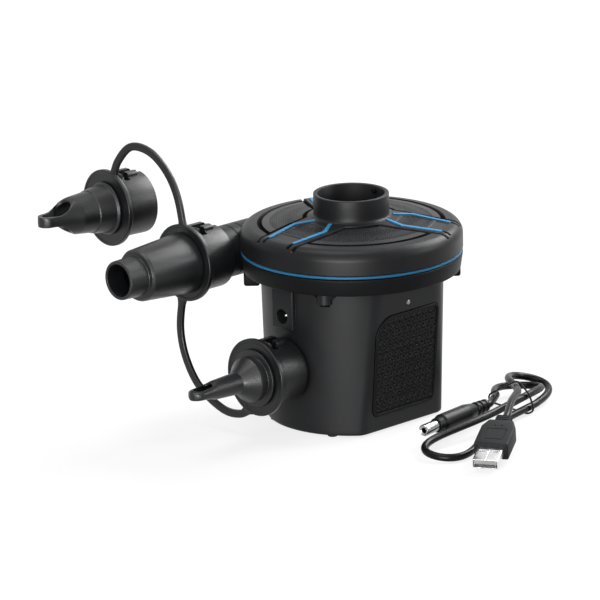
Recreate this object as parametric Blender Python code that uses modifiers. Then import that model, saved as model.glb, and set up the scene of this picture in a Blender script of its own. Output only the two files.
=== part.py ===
"""Rechargeable air pump with three tethered nozzles and a charge cable.

Metres, +Z up.  The pump's axis is Z, its feet stand on z = 0, and its front, where the
nozzles point, faces -Y.
"""
import math

import bmesh
import bpy
from mathutils import Matrix, Vector

# General clearances and facets
GAP = 0.0003
RUN_GAP = 0.0006
BIG_SIDES = 40
ROUND_SIDES = 24
SMALL_SIDES = 12
SCREW_SIDES = 8

# Motor housing, a tapered cup with two flat grip sides
HOUSING_R_TOP = 0.0428
HOUSING_R_BOTTOM = 0.0410
HOUSING_WALL = 0.0022
BASE_Z = 0.0008
FLOOR_THICK = 0.0040
INNER_FLAT_Y = 0.0380
FACET_X_BOTTOM = 0.0320
FACET_X_TOP = 0.0378
FACET_WALL = 0.0034

# Base cover, its screws and the feet
COVER_PLATE_R = 0.0303
COVER_PLATE_THICK = 0.0022
BASE_HOLE_R = 0.0250
BASE_SCREW_RING_R = 0.0273
BASE_SCREW_LENGTH = 0.0038
FOOT_R = 0.0024
FOOT_RING_R = 0.0380
FOOT_SEAT_DEPTH = 0.0009
FOOT_ANGLES = (-120.0, -60.0, 60.0, 120.0)
BASE_SCREW_ANGLES = (-150.0, -30.0, 30.0, 150.0)

# Screws
SCREW_R = 0.0011
SCREW_HEAD_R = 0.0021
SCREW_HEAD_H = 0.0013

# Grip pads
PAD_WIDTH = 0.0410
PAD_BOTTOM_Z = 0.0085
PAD_TOP_Z = 0.0570
PAD_TOP_CORNER_R = 0.0100
PAD_REAR_CORNER_R = 0.0035
PAD_LOW_CORNER_R = 0.0040
PAD_SEAT_DEPTH = 0.0010
PAD_PROUD = 0.0005
PAD_FIELD_DEPTH = 0.0006
PAD_BORDER = 0.0014

# Blower rim, trim ring and top cover
RIM_Z = 0.0710
LID_R = 0.0520
LID_WALL = 0.0022
RIM_H = 0.0081
RIM_FLOOR = 0.0020
RIM_CHAMFER = 0.0010
RIGHT_LUG_ANGLE = 45.5
RIGHT_LUG_DROP = 0.0039
LEFT_LUG_ANGLE = 225.5
LEFT_LUG_DROP = 0.0073
LUG_IN_R = 0.0431
LUG_OUT_R = 0.0506
LUG_HALF_W = 0.0060
LUG_ROUND = 0.0012
TRIM_H = 0.0012
TRIM_SUNK = 0.0002
TRIM_WIDTH = 0.0029
COVER_SHOULDER_Z = 0.0873
COVER_ROUND_R = 0.0056
COVER_RISE = 0.0035
COVER_SKIN = 0.0022
COLLAR_R = 0.0177
COLLAR_WALL = 0.00205
COLLAR_TOP_Z = 0.1070
COLLAR_SKIRT_Z = 0.0910
COLLAR_SKIRT_WALL = 0.0029
COLLAR_LIP = 0.0014
COLLAR_LIP_H = 0.0007
COLLAR_PIN_Z = 0.1047
COLLAR_PIN_REACH = 0.0016

# Arms on the cover with their inlay strips
ARM_ANGLES = (-90.0, 30.0, 150.0)
ARM_HALF_INNER = 0.0122
ARM_HALF_OUTER = 0.0098
ARM_KINK_A = 0.0270
SECTOR_INNER_R = 0.0206
SECTOR_OUTER_R = 0.0440
SECTOR_DEPTH = 0.0010
STRIP_WIDTH = 0.0019
STRIP_THICK = 0.0010
STRIP_PROUD = 0.0003
STRIP_IN_SIDE = 0.0050
STRIP_IN_A = 0.0185
STRIP_KINK_SIDE = 0.0100
STRIP_OUT_SIDE = 0.0079
STRIP_OUT_A = 0.0456

# Inlet guard
GUARD_THICK = 0.0014
GUARD_RING_W = 0.0018
GUARD_BAR_W = 0.0016
GUARD_HUB_R = 0.0040
GUARD_BARS = 3

# Lid screws in bosses under the rim
BOSS_R = 0.0036
BOSS_RING_R = 0.0425
BOSS_H = 0.0056
BOSS_ANGLES = (-62.0, 62.0, 150.0)

# Outlet duct and the spigots that the nozzles sit on
OUTLET_X = -0.0480
OUTLET_Z = 0.0768
SPIGOT_R = 0.0123
SPIGOT_WALL = 0.0015
DUCT_TAIL_Y = 0.0060
DUCT_TAIL_WALL = 0.0030
DUCT_TAIL_ROUND = 0.0030
DUCT_BOX_IN_X = -0.0385
DUCT_BOX_OUT_X = -0.0500
DUCT_BOX_FRONT_Y = -0.0100
DUCT_BOX_BACK_Y = 0.0045
DUCT_BOX_HALF_Z = 0.0105
DUCT_PORT_WALL = 0.0020
PIN_R = 0.0012
PIN_REACH = 0.0020

# Docking post
DOCK_X = -0.0010
DOCK_Z = 0.0308
DOCK_SEAT_Y = -0.0397
DOCK_FLOOR = 0.0022
DOCK_WALL = 0.0020

# Charge jack and status lamp
JACK_X = -0.0016
JACK_Z = 0.0560
JACK_FACE_Y = -0.0443
JACK_PANEL_W = 0.0136
JACK_PANEL_DROP = 0.0060
JACK_HOLE_R = 0.0035
JACK_BODY_W = 0.0100
JACK_BODY_H = 0.0110
JACK_BODY_D = 0.0090
JACK_SOCKET_R = 0.0029
JACK_SOCKET_D = 0.0075
JACK_PIN_R = 0.0010
JACK_PIN_SEAT = 0.0009
JACK_PIN_DEPTH = 0.0024
LAMP_Z = 0.0612
LAMP_R = 0.0012
LAMP_LENGTH = 0.0050
LAMP_PROUD = 0.0004

# Power switch at the back
SWITCH_Z = 0.0500
SWITCH_FACE_Y = 0.0404
SWITCH_RECESS_W = 0.0190
SWITCH_RECESS_H = 0.0260
SWITCH_BEZEL_W = 0.0150
SWITCH_BEZEL_H = 0.0210
SWITCH_BEZEL_T = 0.0015
SWITCH_BODY_W = 0.0126
SWITCH_BODY_H = 0.0186
SWITCH_BODY_D = 0.0080
ROCKER_W = 0.0100
ROCKER_HALF_H = 0.0076
ROCKER_PIVOT_IN = 0.0022
ROCKER_POCKET_D = 0.0065
ROCKER_TILT = math.radians(8.0)
ROCKER_PIN_R = 0.0009

# Motor, shaft and impeller
MOTOR_R = 0.0140
MOTOR_LENGTH = 0.0380
MOTOR_CAP_R = 0.0136
MOTOR_CAP_H = 0.0040
MOTOR_SCREW_X = 0.0085
MOTOR_SCREW_LENGTH = 0.0060
SHAFT_R = 0.0016
SHAFT_DEPTH = 0.0200
SHAFT_HOLE_R = 0.0046
IMPELLER_R = 0.0340
IMPELLER_Z = 0.0758
IMPELLER_PLATE = 0.0014
IMPELLER_H = 0.0105
IMPELLER_HUB_R = 0.0058
BLADE_COUNT = 9
BLADE_THICK = 0.0012
BLADE_ROOT_R = 0.0120
BLADE_SWEEP = math.radians(42.0)

# Battery and control board
CELL_R = 0.0090
CELL_LENGTH = 0.0500
CELL_X = 0.0170
CELL_Y = 0.0185
HOLDER_WALL = 0.0012
HOLDER_FLOOR = 0.0015
HOLDER_H = 0.0080
BOARD_W = 0.0260
BOARD_H = 0.0400
BOARD_THICK = 0.0016
BOARD_Y = -0.0200

# Nozzles: all three share the flange plane, the neck and the bayonet socket
FLANGE_Y = -0.0630
RING_R = 0.0183
RING_THICK = 0.0024
NECK_R = 0.0113
NECK_BORE_R = 0.0094
SOCKET_R = 0.0150
SOCKET_LENGTH = 0.0167
SOCKET_STEP = 0.0023
NOZZLE_EDGE = 0.0004
SLOT_W = 0.0034
SLOT_BACK = 0.0080
SLOT_TWIST = math.radians(20.0)
PAD_RISE = 0.0012
PAD_HALF_W = 0.0050
PAD_BACK_FRONT = 0.0050
PAD_BACK_REAR = 0.0160

# Large stepped nozzle
LARGE_BASE_R = 0.0144
LARGE_SHOULDER_R = 0.0123
LARGE_SHOULDER_S = 0.0284
LARGE_STEP_S = 0.0300
LARGE_MOUTH_R = 0.0092
LARGE_MOUTH_S = 0.0406
LARGE_BORE_R = 0.0077

# Pinch valve nozzle
PINCH_X = -0.1005
PINCH_Z = 0.0936
PINCH_YAW = math.radians(-5.5)
PINCH_BASE_R = 0.0126
PINCH_CONE_R = 0.0116
PINCH_END_R = 0.0088
PINCH_END_S = 0.0200
PINCH_WALL = 0.0016
PINCH_LOOP_ROOT_S = 0.0160
PINCH_LOOP_TIP_R = 0.0046
PINCH_LOOP_S = 0.0340
PINCH_LOOP_BAND = 0.0019
PINCH_LOOP_H = 0.0060

# Fine valve nozzle
FINE_BASE_R = 0.0135
FINE_BASE_S = 0.0014
FINE_DRUM_R = 0.0106
FINE_DRUM_S = 0.0057
FINE_TUBE_R = 0.0052
FINE_TUBE_S = 0.0118
FINE_END_R = 0.0043
FINE_END_S = 0.0302
FINE_WALL = 0.0012
FINE_LOOP_ROOT_S = 0.0262
FINE_LOOP_TIP_R = 0.0048
FINE_LOOP_S = 0.0354
FINE_LOOP_BAND = 0.0020
FINE_LOOP_H = 0.0046

# Tether straps, as routes (x, z) in the flange plane
STRAP_WIDTH = 0.0038
STRAP_THICK = 0.0022
UPPER_STRAP = (
    (-0.0965, 0.1080),
    (-0.0925, 0.1175),
    (-0.0830, 0.1262),
    (-0.0700, 0.1258),
    (-0.0590, 0.1185),
    (-0.0520, 0.1075),
    (-0.0480, 0.0915),
)
LOWER_STRAP = (
    (-0.0500, 0.0605),
    (-0.0520, 0.0440),
    (-0.0485, 0.0300),
    (-0.0395, 0.0180),
    (-0.0240, 0.0105),
    (-0.0120, 0.0108),
    (-0.0060, 0.0150),
)
STRAP_STEP = 0.0040

# Charge cable: plugs, hank and tie, lying on the floor beside the pump
CABLE_D = 0.0036
PLUG_TIP = Vector((0.0640, -0.0186, 0.0088))
PLUG_REAR = Vector((0.0556, 0.0314, 0.0078))
PLUG_BODY_R = 0.0043
PLUG_BODY_LENGTH = 0.0300
PLUG_BARREL_R = 0.00275
PLUG_BARREL_LENGTH = 0.0100
PLUG_BARREL_BORE_R = 0.0013
PLUG_BARREL_SEAT = 0.0030
PLUG_RELIEF_R = 0.0034
PLUG_RELIEF_WAIST_R = 0.0026
PLUG_RELIEF_RINGS = 3
PLUG_RELIEF_LENGTH = 0.0100

TIE_AT = Vector((0.0570, 0.0476, 0.0))
TIE_HEADING = math.radians(125.0)
TIE_BAND = 0.0009
TIE_WIDTH = 0.0014
TIE_SIDES = 48
CABLE_STEP = 0.0030
FINE_STEP = 0.0010
LOOP_POINTS = 24
BACK_UPPER = {"heading": 126.0, "length": 0.0302, "half": 0.0055, "skew": 0.0025, "lift": -0.0033, "power": 0.0,
              "sides": (-0.0067, 0.0060), "heights": (0.0077, 0.0087)}
FRONT = {"heading": -75.0, "length": 0.0796, "half": -0.0097, "skew": 0.0018, "lift": -0.0032, "power": 1.9,
         "sides": (-0.0052, -0.0061), "heights": (0.0087, 0.0032)}
BACK_LOWER = {"heading": 130.5, "length": 0.0343, "half": -0.0074, "skew": 0.0027, "lift": -0.0010, "power": 0.0,
              "sides": (0.0081, 0.0030), "heights": (0.0032, 0.0129)}
RUN_OUT = (
    (0.0663, 0.0420, 0.0146),
    (0.0722, 0.0336, 0.0151),
    (0.0780, 0.0250, 0.0152),
)

USB_TIP = Vector((0.1100, -0.0254, 0.0044))
USB_HEADING = math.radians(-59.0)
USB_PITCH = math.radians(11.5)
USB_SHELL_W = 0.0120
USB_SHELL_H = 0.0045
USB_SHELL_LENGTH = 0.0120
USB_SHELL_WALL = 0.0004
USB_SHELL_SEAT = 0.0040
USB_BODY_W = 0.0160
USB_BODY_H = 0.0082
USB_BODY_LENGTH = 0.0230
USB_BODY_ROUND = 0.0012
USB_RELIEF_W = 0.0076
USB_RELIEF_H = 0.0060
USB_RELIEF_LENGTH = 0.0070
USB_TONGUE_W = 0.0105
USB_TONGUE_H = 0.0018

# Derived places
HOUSING_TOP_Z = RIM_Z - GAP
RIM_TOP_Z = RIM_Z + RIM_H
TRIM_Z = RIM_TOP_Z + GAP
COVER_Z = TRIM_Z + TRIM_H + GAP
COVER_EDGE_R = LID_R - COVER_ROUND_R
COVER_EDGE_Z = COVER_SHOULDER_Z + COVER_ROUND_R
COLLAR_BORE_R = COLLAR_R - COLLAR_WALL
COVER_SLOPE = COVER_RISE / (COVER_EDGE_R - COLLAR_R)
FACET_TILT = math.atan((FACET_X_TOP - FACET_X_BOTTOM) / RIM_Z)
FLOOR_TOP_Z = BASE_Z + FLOOR_THICK
PLATE_TOP_Z = BASE_Z + COVER_PLATE_THICK
GROOVE = RING_THICK + 2 * GAP
SOCKET_BORE_R = SPIGOT_R + GAP
SOCKET_START_S = GAP - GROOVE
SOCKET_END_S = SOCKET_START_S - SOCKET_LENGTH
SOCKET_FLOOR_S = SOCKET_START_S - SOCKET_STEP
SPIGOT_END_Y = FLANGE_Y - SOCKET_FLOOR_S + RUN_GAP
PIN_Y = FLANGE_Y + SLOT_BACK
MOTOR_TOP_Z = RIM_Z - GAP
MOTOR_BOTTOM_Z = MOTOR_TOP_Z - MOTOR_LENGTH
HALF_TURN = math.pi
QUARTER_TURN = math.pi / 2

for old in list(bpy.data.objects):
    bpy.data.objects.remove(old, do_unlink=True)

PARTS = bpy.data.collections.new("air_pump")
CUTTERS = bpy.data.collections.new("cutters")
bpy.context.scene.collection.children.link(PARTS)
bpy.context.scene.collection.children.link(CUTTERS)


def material(name, colour, roughness, metallic=0.0):
    """A Principled material in one colour."""
    mat = bpy.data.materials.new(name)
    mat.use_nodes = True
    shader = mat.node_tree.nodes["Principled BSDF"]
    shader.inputs["Base Color"].default_value = (*colour, 1.0)
    shader.inputs["Roughness"].default_value = roughness
    shader.inputs["Metallic"].default_value = metallic
    return mat


BLACK = material("satin_black_plastic", (0.030, 0.031, 0.034), 0.45)
GRIP = material("grip_black_plastic", (0.018, 0.018, 0.020), 0.70)
BLUE = material("blue_trim_plastic", (0.045, 0.260, 0.560), 0.40)
RUBBER = material("black_rubber", (0.020, 0.020, 0.021), 0.80)
TETHER = material("tether_plastic", (0.026, 0.027, 0.029), 0.50)
CABLE = material("cable_black_pvc", (0.012, 0.012, 0.013), 0.30)
STEEL = material("bright_steel", (0.720, 0.720, 0.730), 0.25, 1.0)
ZINC = material("motor_zinc", (0.560, 0.570, 0.580), 0.40, 1.0)
CELL_WRAP = material("battery_wrap", (0.080, 0.270, 0.190), 0.50)
BOARD_GREEN = material("board_green", (0.020, 0.160, 0.070), 0.50)
LENS = material("lamp_lens", (0.850, 0.860, 0.860), 0.20)
WHITE = material("white_insulator", (0.800, 0.800, 0.780), 0.50)


def add(name, mesh, mat=None, at=Matrix(), collection=PARTS):
    """A new object of a mesh, placed by a matrix."""
    obj = bpy.data.objects.new(name, mesh)
    collection.objects.link(obj)
    obj.matrix_world = at
    if mat:
        mesh.materials.append(mat)
    return obj


def as_cutter(obj):
    """Move an object to the cutters, where it only shapes others."""
    for collection in list(obj.users_collection):
        collection.objects.unlink(obj)
    CUTTERS.objects.link(obj)
    obj.hide_render = True
    obj.display_type = "WIRE"
    return obj


def combine(obj, tool, operation="DIFFERENCE"):
    """Cut, join or intersect one object with another by a Boolean modifier."""
    mod = obj.modifiers.new(operation.lower() + "_" + tool.name, "BOOLEAN")
    mod.operation = operation
    mod.solver = "EXACT"
    mod.object = tool
    return obj


def soften(obj, width, segments=2):
    """Round an object's edges."""
    mod = obj.modifiers.new("soften", "BEVEL")
    mod.width = width
    mod.segments = segments
    mod.limit_method = "ANGLE"
    return obj


def move(x=0.0, y=0.0, z=0.0):
    """A translation."""
    return Matrix.Translation((x, y, z))


def turn(angle, axis):
    """A rotation about a world axis."""
    return Matrix.Rotation(angle, 4, axis)


def ring_place(radius, degrees, z=0.0):
    """A frame at a place on a circle round the pump's axis, with its X pointing outwards."""
    return turn(math.radians(degrees), "Z") @ move(radius, 0.0, z)


def turned(name, profile, mat=None, at=Matrix(), sides=ROUND_SIDES):
    """A turned solid: the profile (r, z) runs down the outer side and up the inner one."""
    mesh = bpy.data.meshes.new(name)
    points = [(r, 0.0, z) for r, z in profile]
    edges = [(i, i + 1) for i in range(len(points) - 1)]
    if profile[0][0] > 0.0:
        edges.append((len(points) - 1, 0))
    mesh.from_pydata(points, edges, [])
    obj = add(name, mesh, mat, at)
    mod = obj.modifiers.new("turn", "SCREW")
    mod.axis = "Z"
    mod.angle = 2 * math.pi
    mod.steps = sides
    mod.render_steps = sides
    mod.use_merge_vertices = True
    mod.merge_threshold = 0.00001
    mod.use_smooth_shade = True
    return obj


def box(name, low, high, mat=None, at=Matrix()):
    """A box between two corners."""
    low = Vector(low)
    high = Vector(high)
    shape = bmesh.new()
    scale = Matrix.Diagonal((*(high - low), 1.0))
    bmesh.ops.create_cube(shape, size=1.0, matrix=Matrix.Translation((low + high) / 2) @ scale)
    mesh = bpy.data.meshes.new(name)
    shape.to_mesh(mesh)
    shape.free()
    return add(name, mesh, mat, at)


def rod(name, radius, z_low, z_high, mat=None, at=Matrix(), sides=SMALL_SIDES):
    """A plain cylinder along its own Z."""
    shape = bmesh.new()
    bmesh.ops.create_cone(
        shape, cap_ends=True, segments=sides, radius1=radius, radius2=radius,
        depth=z_high - z_low, matrix=move(z=(z_low + z_high) / 2),
    )
    mesh = bpy.data.meshes.new(name)
    shape.to_mesh(mesh)
    shape.free()
    return add(name, mesh, mat, at)


def prism(name, outlines, z_low, z_high, mat=None, at=Matrix()):
    """A flat outline, with any holes, raised from z_low to z_high."""
    curve = bpy.data.curves.new(name + "_outline", "CURVE")
    curve.dimensions = "2D"
    curve.fill_mode = "BOTH"
    curve.extrude = (z_high - z_low) / 2
    for outline in outlines:
        spline = curve.splines.new("POLY")
        spline.points.add(len(outline) - 1)
        for point, (x, y) in zip(spline.points, outline):
            point.co = (x, y, 0.0, 1.0)
        spline.use_cyclic_u = True
    guide = bpy.data.objects.new(name + "_outline", curve)
    bpy.context.scene.collection.objects.link(guide)
    graph = bpy.context.evaluated_depsgraph_get()
    mesh = bpy.data.meshes.new_from_object(guide.evaluated_get(graph))
    bpy.data.objects.remove(guide, do_unlink=True)
    shape = bmesh.new()
    shape.from_mesh(mesh)
    bmesh.ops.remove_doubles(shape, verts=shape.verts, dist=0.000001)
    bmesh.ops.recalc_face_normals(shape, faces=shape.faces)
    bmesh.ops.translate(shape, verts=shape.verts, vec=(0.0, 0.0, (z_low + z_high) / 2))
    shape.to_mesh(mesh)
    shape.free()
    mesh.name = name
    mesh.materials.clear()
    return add(name, mesh, mat, at)


def arc(centre, radius, start, end, steps):
    """Points on an arc, in degrees."""
    points = []
    for i in range(steps + 1):
        angle = math.radians(start + (end - start) * i / steps)
        points.append((centre[0] + radius * math.cos(angle), centre[1] + radius * math.sin(angle)))
    return points


def round_rectangle(x_low, x_high, y_low, y_high, right_radius, left_radius, low_radius, steps=4):
    """A rectangle's outline with round corners, which may differ at the top right, top left and below."""
    outline = arc((x_high - right_radius, y_high - right_radius), right_radius, 0, 90, steps)
    outline += arc((x_low + left_radius, y_high - left_radius), left_radius, 90, 180, steps)
    outline += arc((x_low + low_radius, y_low + low_radius), low_radius, 180, 270, steps)
    outline += arc((x_high - low_radius, y_low + low_radius), low_radius, 270, 360, steps)
    return outline


def pad_outline(side, inset):
    """The outline of the grip pad on one side, drawn in by an inset, with its tighter top corner to the rear."""
    half = PAD_WIDTH / 2 - inset
    rear, front = PAD_REAR_CORNER_R - inset, PAD_TOP_CORNER_R - inset
    right, left = (rear, front) if side > 0 else (front, rear)
    return round_rectangle(-half, half, PAD_BOTTOM_Z + inset, PAD_TOP_Z - inset,
                           right, left, PAD_LOW_CORNER_R - inset, 6)


def smooth_route(points, step):
    """Evenly spaced points on a smooth curve through the route's own points."""
    points = [Vector(p) for p in points]
    ends = [2 * points[0] - points[1]] + points + [2 * points[-1] - points[-2]]
    fine = []
    for i in range(1, len(ends) - 2):
        a, b, c, d = ends[i - 1:i + 3]
        for k in range(12):
            t = k / 12
            fine.append(
                0.5 * (2 * b + (c - a) * t + (2 * a - 5 * b + 4 * c - d) * t**2
                       + (3 * b - a - 3 * c + d) * t**3)
            )
    fine.append(points[-1])
    length = sum((q - p).length for p, q in zip(fine, fine[1:]))
    count = max(2, round(length / step))
    route = [fine[0]]
    travelled = 0.0
    for p, q in zip(fine, fine[1:]):
        travelled += (q - p).length
        while len(route) < count and travelled >= len(route) * length / count:
            over = travelled - len(route) * length / count
            route.append(q + (p - q).normalized() * over)
    route.append(fine[-1])
    return route


def band(route, half):
    """The outline of a band of constant width along a flat route."""
    left = []
    right = []
    for i, point in enumerate(route):
        ahead = route[min(i + 1, len(route) - 1)]
        behind = route[max(i - 1, 0)]
        along = (Vector(ahead) - Vector(behind)).normalized()
        side = Vector((-along[1], along[0]))
        left.append(tuple(Vector(point) + side * half))
        right.append(tuple(Vector(point) - side * half))
    return left + right[::-1]


def housing_radius(z):
    """The housing's outer radius at a height."""
    share = (z - BASE_Z) / (RIM_Z - BASE_Z)
    return HOUSING_R_BOTTOM + (HOUSING_R_TOP - HOUSING_R_BOTTOM) * share


def cover_top(radius):
    """The height of the cover's conical top at a radius."""
    return COVER_EDGE_Z + (COVER_EDGE_R - radius) * COVER_SLOPE


def facet_frame(side):
    """A frame on a grip side: X outwards, Z up along the flat."""
    about = turn(0.0 if side > 0 else HALF_TURN, "Z")
    return about @ move(FACET_X_BOTTOM) @ turn(FACET_TILT, "Y")


# Turns a flat outline (x, y) to stand in a frame's YZ plane, raised along X.
STAND_YZ = Matrix(((0, 0, 1, 0), (1, 0, 0, 0), (0, 1, 0, 0), (0, 0, 0, 1)))
# Turns a frame so that its Z points along -Y and its Y points up.
FACE_FRONT = turn(QUARTER_TURN, "X")
# Turns a frame so that its Z points along +Y and its Y points down.
FACE_BACK = turn(-QUARTER_TURN, "X")


def screw(name, length, at):
    """A pan head screw: head from z = 0, point up."""
    return turned(
        name,
        [
            (0.0, length),
            (SCREW_R, length - SCREW_R / 2),
            (SCREW_R, SCREW_HEAD_H),
            (SCREW_HEAD_R, SCREW_HEAD_H),
            (SCREW_HEAD_R, SCREW_HEAD_H / 4),
            (SCREW_HEAD_R * 0.8, 0.0),
            (0.0, 0.0),
        ],
        STEEL, at, sides=SCREW_SIDES,
    )


def screw_hole(name, length, at):
    """A clearance hole with a seat for a screw's head, open below."""
    below = SCREW_HEAD_H
    return as_cutter(turned(
        name,
        [
            (0.0, length + GAP),
            (SCREW_R + GAP, length + GAP),
            (SCREW_R + GAP, SCREW_HEAD_H + GAP),
            (SCREW_HEAD_R + GAP, SCREW_HEAD_H + GAP),
            (SCREW_HEAD_R + GAP, -below),
            (0.0, -below),
        ],
        None, at, sides=SCREW_SIDES,
    ))


def make_duct():
    """The outlet duct: a tube past the blower's side with a port into it; returns its clearance."""
    tube_at = move(OUTLET_X, 0.0, OUTLET_Z) @ FACE_FRONT
    duct = turned(
        "outlet_duct",
        [
            (0.0, -SPIGOT_END_Y),
            (SPIGOT_R, -SPIGOT_END_Y),
            (SPIGOT_R, DUCT_TAIL_ROUND - DUCT_TAIL_Y),
            (SPIGOT_R - DUCT_TAIL_ROUND * 0.3, DUCT_TAIL_ROUND * 0.3 - DUCT_TAIL_Y),
            (SPIGOT_R - DUCT_TAIL_ROUND, -DUCT_TAIL_Y),
            (0.0, -DUCT_TAIL_Y),
        ],
        BLACK, tube_at,
    )
    low = Vector((DUCT_BOX_OUT_X, DUCT_BOX_FRONT_Y, OUTLET_Z - DUCT_BOX_HALF_Z))
    high = Vector((DUCT_BOX_IN_X, DUCT_BOX_BACK_Y, OUTLET_Z + DUCT_BOX_HALF_Z))
    combine(duct, as_cutter(box("duct_box", low, high)), "UNION")
    bore = as_cutter(rod("duct_bore", SPIGOT_R - SPIGOT_WALL, DUCT_TAIL_WALL - DUCT_TAIL_Y,
                         -SPIGOT_END_Y + RUN_GAP, None, tube_at, ROUND_SIDES))
    combine(duct, bore)
    wall = Vector((DUCT_PORT_WALL, DUCT_PORT_WALL, DUCT_PORT_WALL))
    port_high = Vector((DUCT_BOX_IN_X + 2 * DUCT_PORT_WALL, high.y, high.z)) - wall
    combine(duct, as_cutter(box("duct_port", low + wall, port_high)))
    pin = as_cutter(rod("duct_pin", PIN_R, SPIGOT_R - SPIGOT_WALL / 2, SPIGOT_R + PIN_REACH, None,
                        move(OUTLET_X, PIN_Y, OUTLET_Z)))
    combine(duct, pin, "UNION")

    wide = Vector((GAP, GAP, GAP))
    room = as_cutter(box("duct_room", low - wide, high + wide))
    way = as_cutter(rod("duct_way", SPIGOT_R + GAP, -DUCT_TAIL_Y - GAP, -SPIGOT_END_Y + RUN_GAP, None,
                        tube_at, ROUND_SIDES))
    combine(room, way, "UNION")
    return room


def make_housing(duct_room):
    """The tapered shell with its flats, recesses, bosses and holes."""
    r_low = housing_radius(BASE_Z)
    r_high = housing_radius(HOUSING_TOP_Z)
    housing = turned(
        "motor_housing",
        [
            (0.0, HOUSING_TOP_Z),
            (r_high, HOUSING_TOP_Z),
            (r_low, BASE_Z + HOUSING_WALL / 2),
            (r_low - HOUSING_WALL / 2, BASE_Z),
            (0.0, BASE_Z),
        ],
        BLACK, sides=BIG_SIDES,
    )
    tall = COLLAR_TOP_Z
    cavity = as_cutter(turned(
        "housing_cavity",
        [
            (0.0, tall),
            (r_high - HOUSING_WALL, tall),
            (r_high - HOUSING_WALL, HOUSING_TOP_Z),
            (r_low - HOUSING_WALL, FLOOR_TOP_Z),
            (0.0, FLOOR_TOP_Z),
        ],
        None, sides=BIG_SIDES,
    ))
    for side in (1, -1):
        flat = facet_frame(side)
        name = "right" if side > 0 else "left"
        outside = box("facet_" + name, (0.0, -LID_R, -LID_R), (LID_R, LID_R, 2 * LID_R), None, flat)
        combine(housing, as_cutter(outside))
        inside = box("inner_facet_" + name, (-FACET_WALL, -LID_R, -LID_R),
                     (LID_R, LID_R, 3 * LID_R), None, flat)
        combine(cavity, as_cutter(inside))
        seat = prism("pad_seat_" + name, [pad_outline(side, -GAP)], -PAD_SEAT_DEPTH, PAD_SEAT_DEPTH, None,
                     flat @ STAND_YZ)
        combine(housing, as_cutter(seat))
        front = box("inner_flat_" + name, (-LID_R, INNER_FLAT_Y, -LID_R),
                    (LID_R, 2 * LID_R, 3 * LID_R), None, turn(QUARTER_TURN * (1 - side), "Z"))
        combine(cavity, as_cutter(front))

    for i, degrees in enumerate(BOSS_ANGLES):
        at = ring_place(BOSS_RING_R, degrees)
        boss = rod("lid_boss_%d" % (i + 1), BOSS_R, HOUSING_TOP_Z - BOSS_H, HOUSING_TOP_Z, None, at)
        combine(housing, as_cutter(boss), "UNION")
    panel = box("jack_panel", (JACK_X - JACK_PANEL_W / 2, JACK_FACE_Y, JACK_Z - JACK_PANEL_DROP),
                (JACK_X + JACK_PANEL_W / 2, -INNER_FLAT_Y, HOUSING_TOP_Z))
    combine(housing, as_cutter(panel), "UNION")
    combine(housing, cavity)
    for i, degrees in enumerate(BOSS_ANGLES):
        at = ring_place(BOSS_RING_R, degrees, HOUSING_TOP_Z - BOSS_H)
        combine(housing, screw_hole("lid_screw_hole_%d" % (i + 1), BOSS_H + RIM_FLOOR, at))

    ledge_z = PLATE_TOP_Z + GAP
    base_hole = as_cutter(turned(
        "base_opening",
        [
            (0.0, FLOOR_TOP_Z + FLOOR_THICK),
            (BASE_HOLE_R, FLOOR_TOP_Z + FLOOR_THICK),
            (BASE_HOLE_R, ledge_z),
            (COVER_PLATE_R + GAP, ledge_z),
            (COVER_PLATE_R + GAP, BASE_Z - FLOOR_THICK),
            (0.0, BASE_Z - FLOOR_THICK),
        ],
        None, sides=BIG_SIDES,
    ))
    combine(housing, base_hole)
    for i, degrees in enumerate(BASE_SCREW_ANGLES):
        at = ring_place(BASE_SCREW_RING_R, degrees, BASE_Z)
        hole = rod("base_screw_way_%d" % (i + 1), SCREW_R + GAP, 0.0, BASE_SCREW_LENGTH + GAP, None, at, SCREW_SIDES)
        combine(housing, as_cutter(hole))
    for i, degrees in enumerate(FOOT_ANGLES):
        at = ring_place(FOOT_RING_R, degrees, BASE_Z)
        seat = rod("foot_seat_%d" % (i + 1), FOOT_R + GAP, -FOOT_SEAT_DEPTH, FOOT_SEAT_DEPTH, None, at)
        combine(housing, as_cutter(seat))

    jack_at = move(JACK_X, 0.0, JACK_Z) @ FACE_FRONT
    combine(housing, as_cutter(rod("jack_hole", JACK_HOLE_R, INNER_FLAT_Y - HOUSING_WALL, LID_R, None,
                                   jack_at, 24)))
    dock_at = move(DOCK_X, 0.0, DOCK_Z) @ FACE_FRONT
    combine(housing, as_cutter(rod("dock_seat", SPIGOT_R + GAP, -DOCK_SEAT_Y - GAP, LID_R, None, dock_at,
                                   ROUND_SIDES)))

    lamp_at = facet_frame(1) @ move(z=LAMP_Z) @ turn(QUARTER_TURN, "Y")
    combine(housing, as_cutter(rod("lamp_hole", LAMP_R + GAP, -LAMP_LENGTH, LAMP_LENGTH, None, lamp_at)))

    half_w = SWITCH_RECESS_W / 2
    half_h = SWITCH_RECESS_H / 2
    combine(housing, as_cutter(box("switch_recess", (-half_w, SWITCH_FACE_Y, SWITCH_Z - half_h),
                                   (half_w, LID_R, SWITCH_Z + half_h))))
    half_w = SWITCH_BODY_W / 2 + GAP
    half_h = SWITCH_BODY_H / 2 + GAP
    combine(housing, as_cutter(box("switch_hole", (-half_w, INNER_FLAT_Y - HOUSING_WALL, SWITCH_Z - half_h),
                                   (half_w, LID_R, SWITCH_Z + half_h))))
    combine(housing, duct_room)


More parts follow.
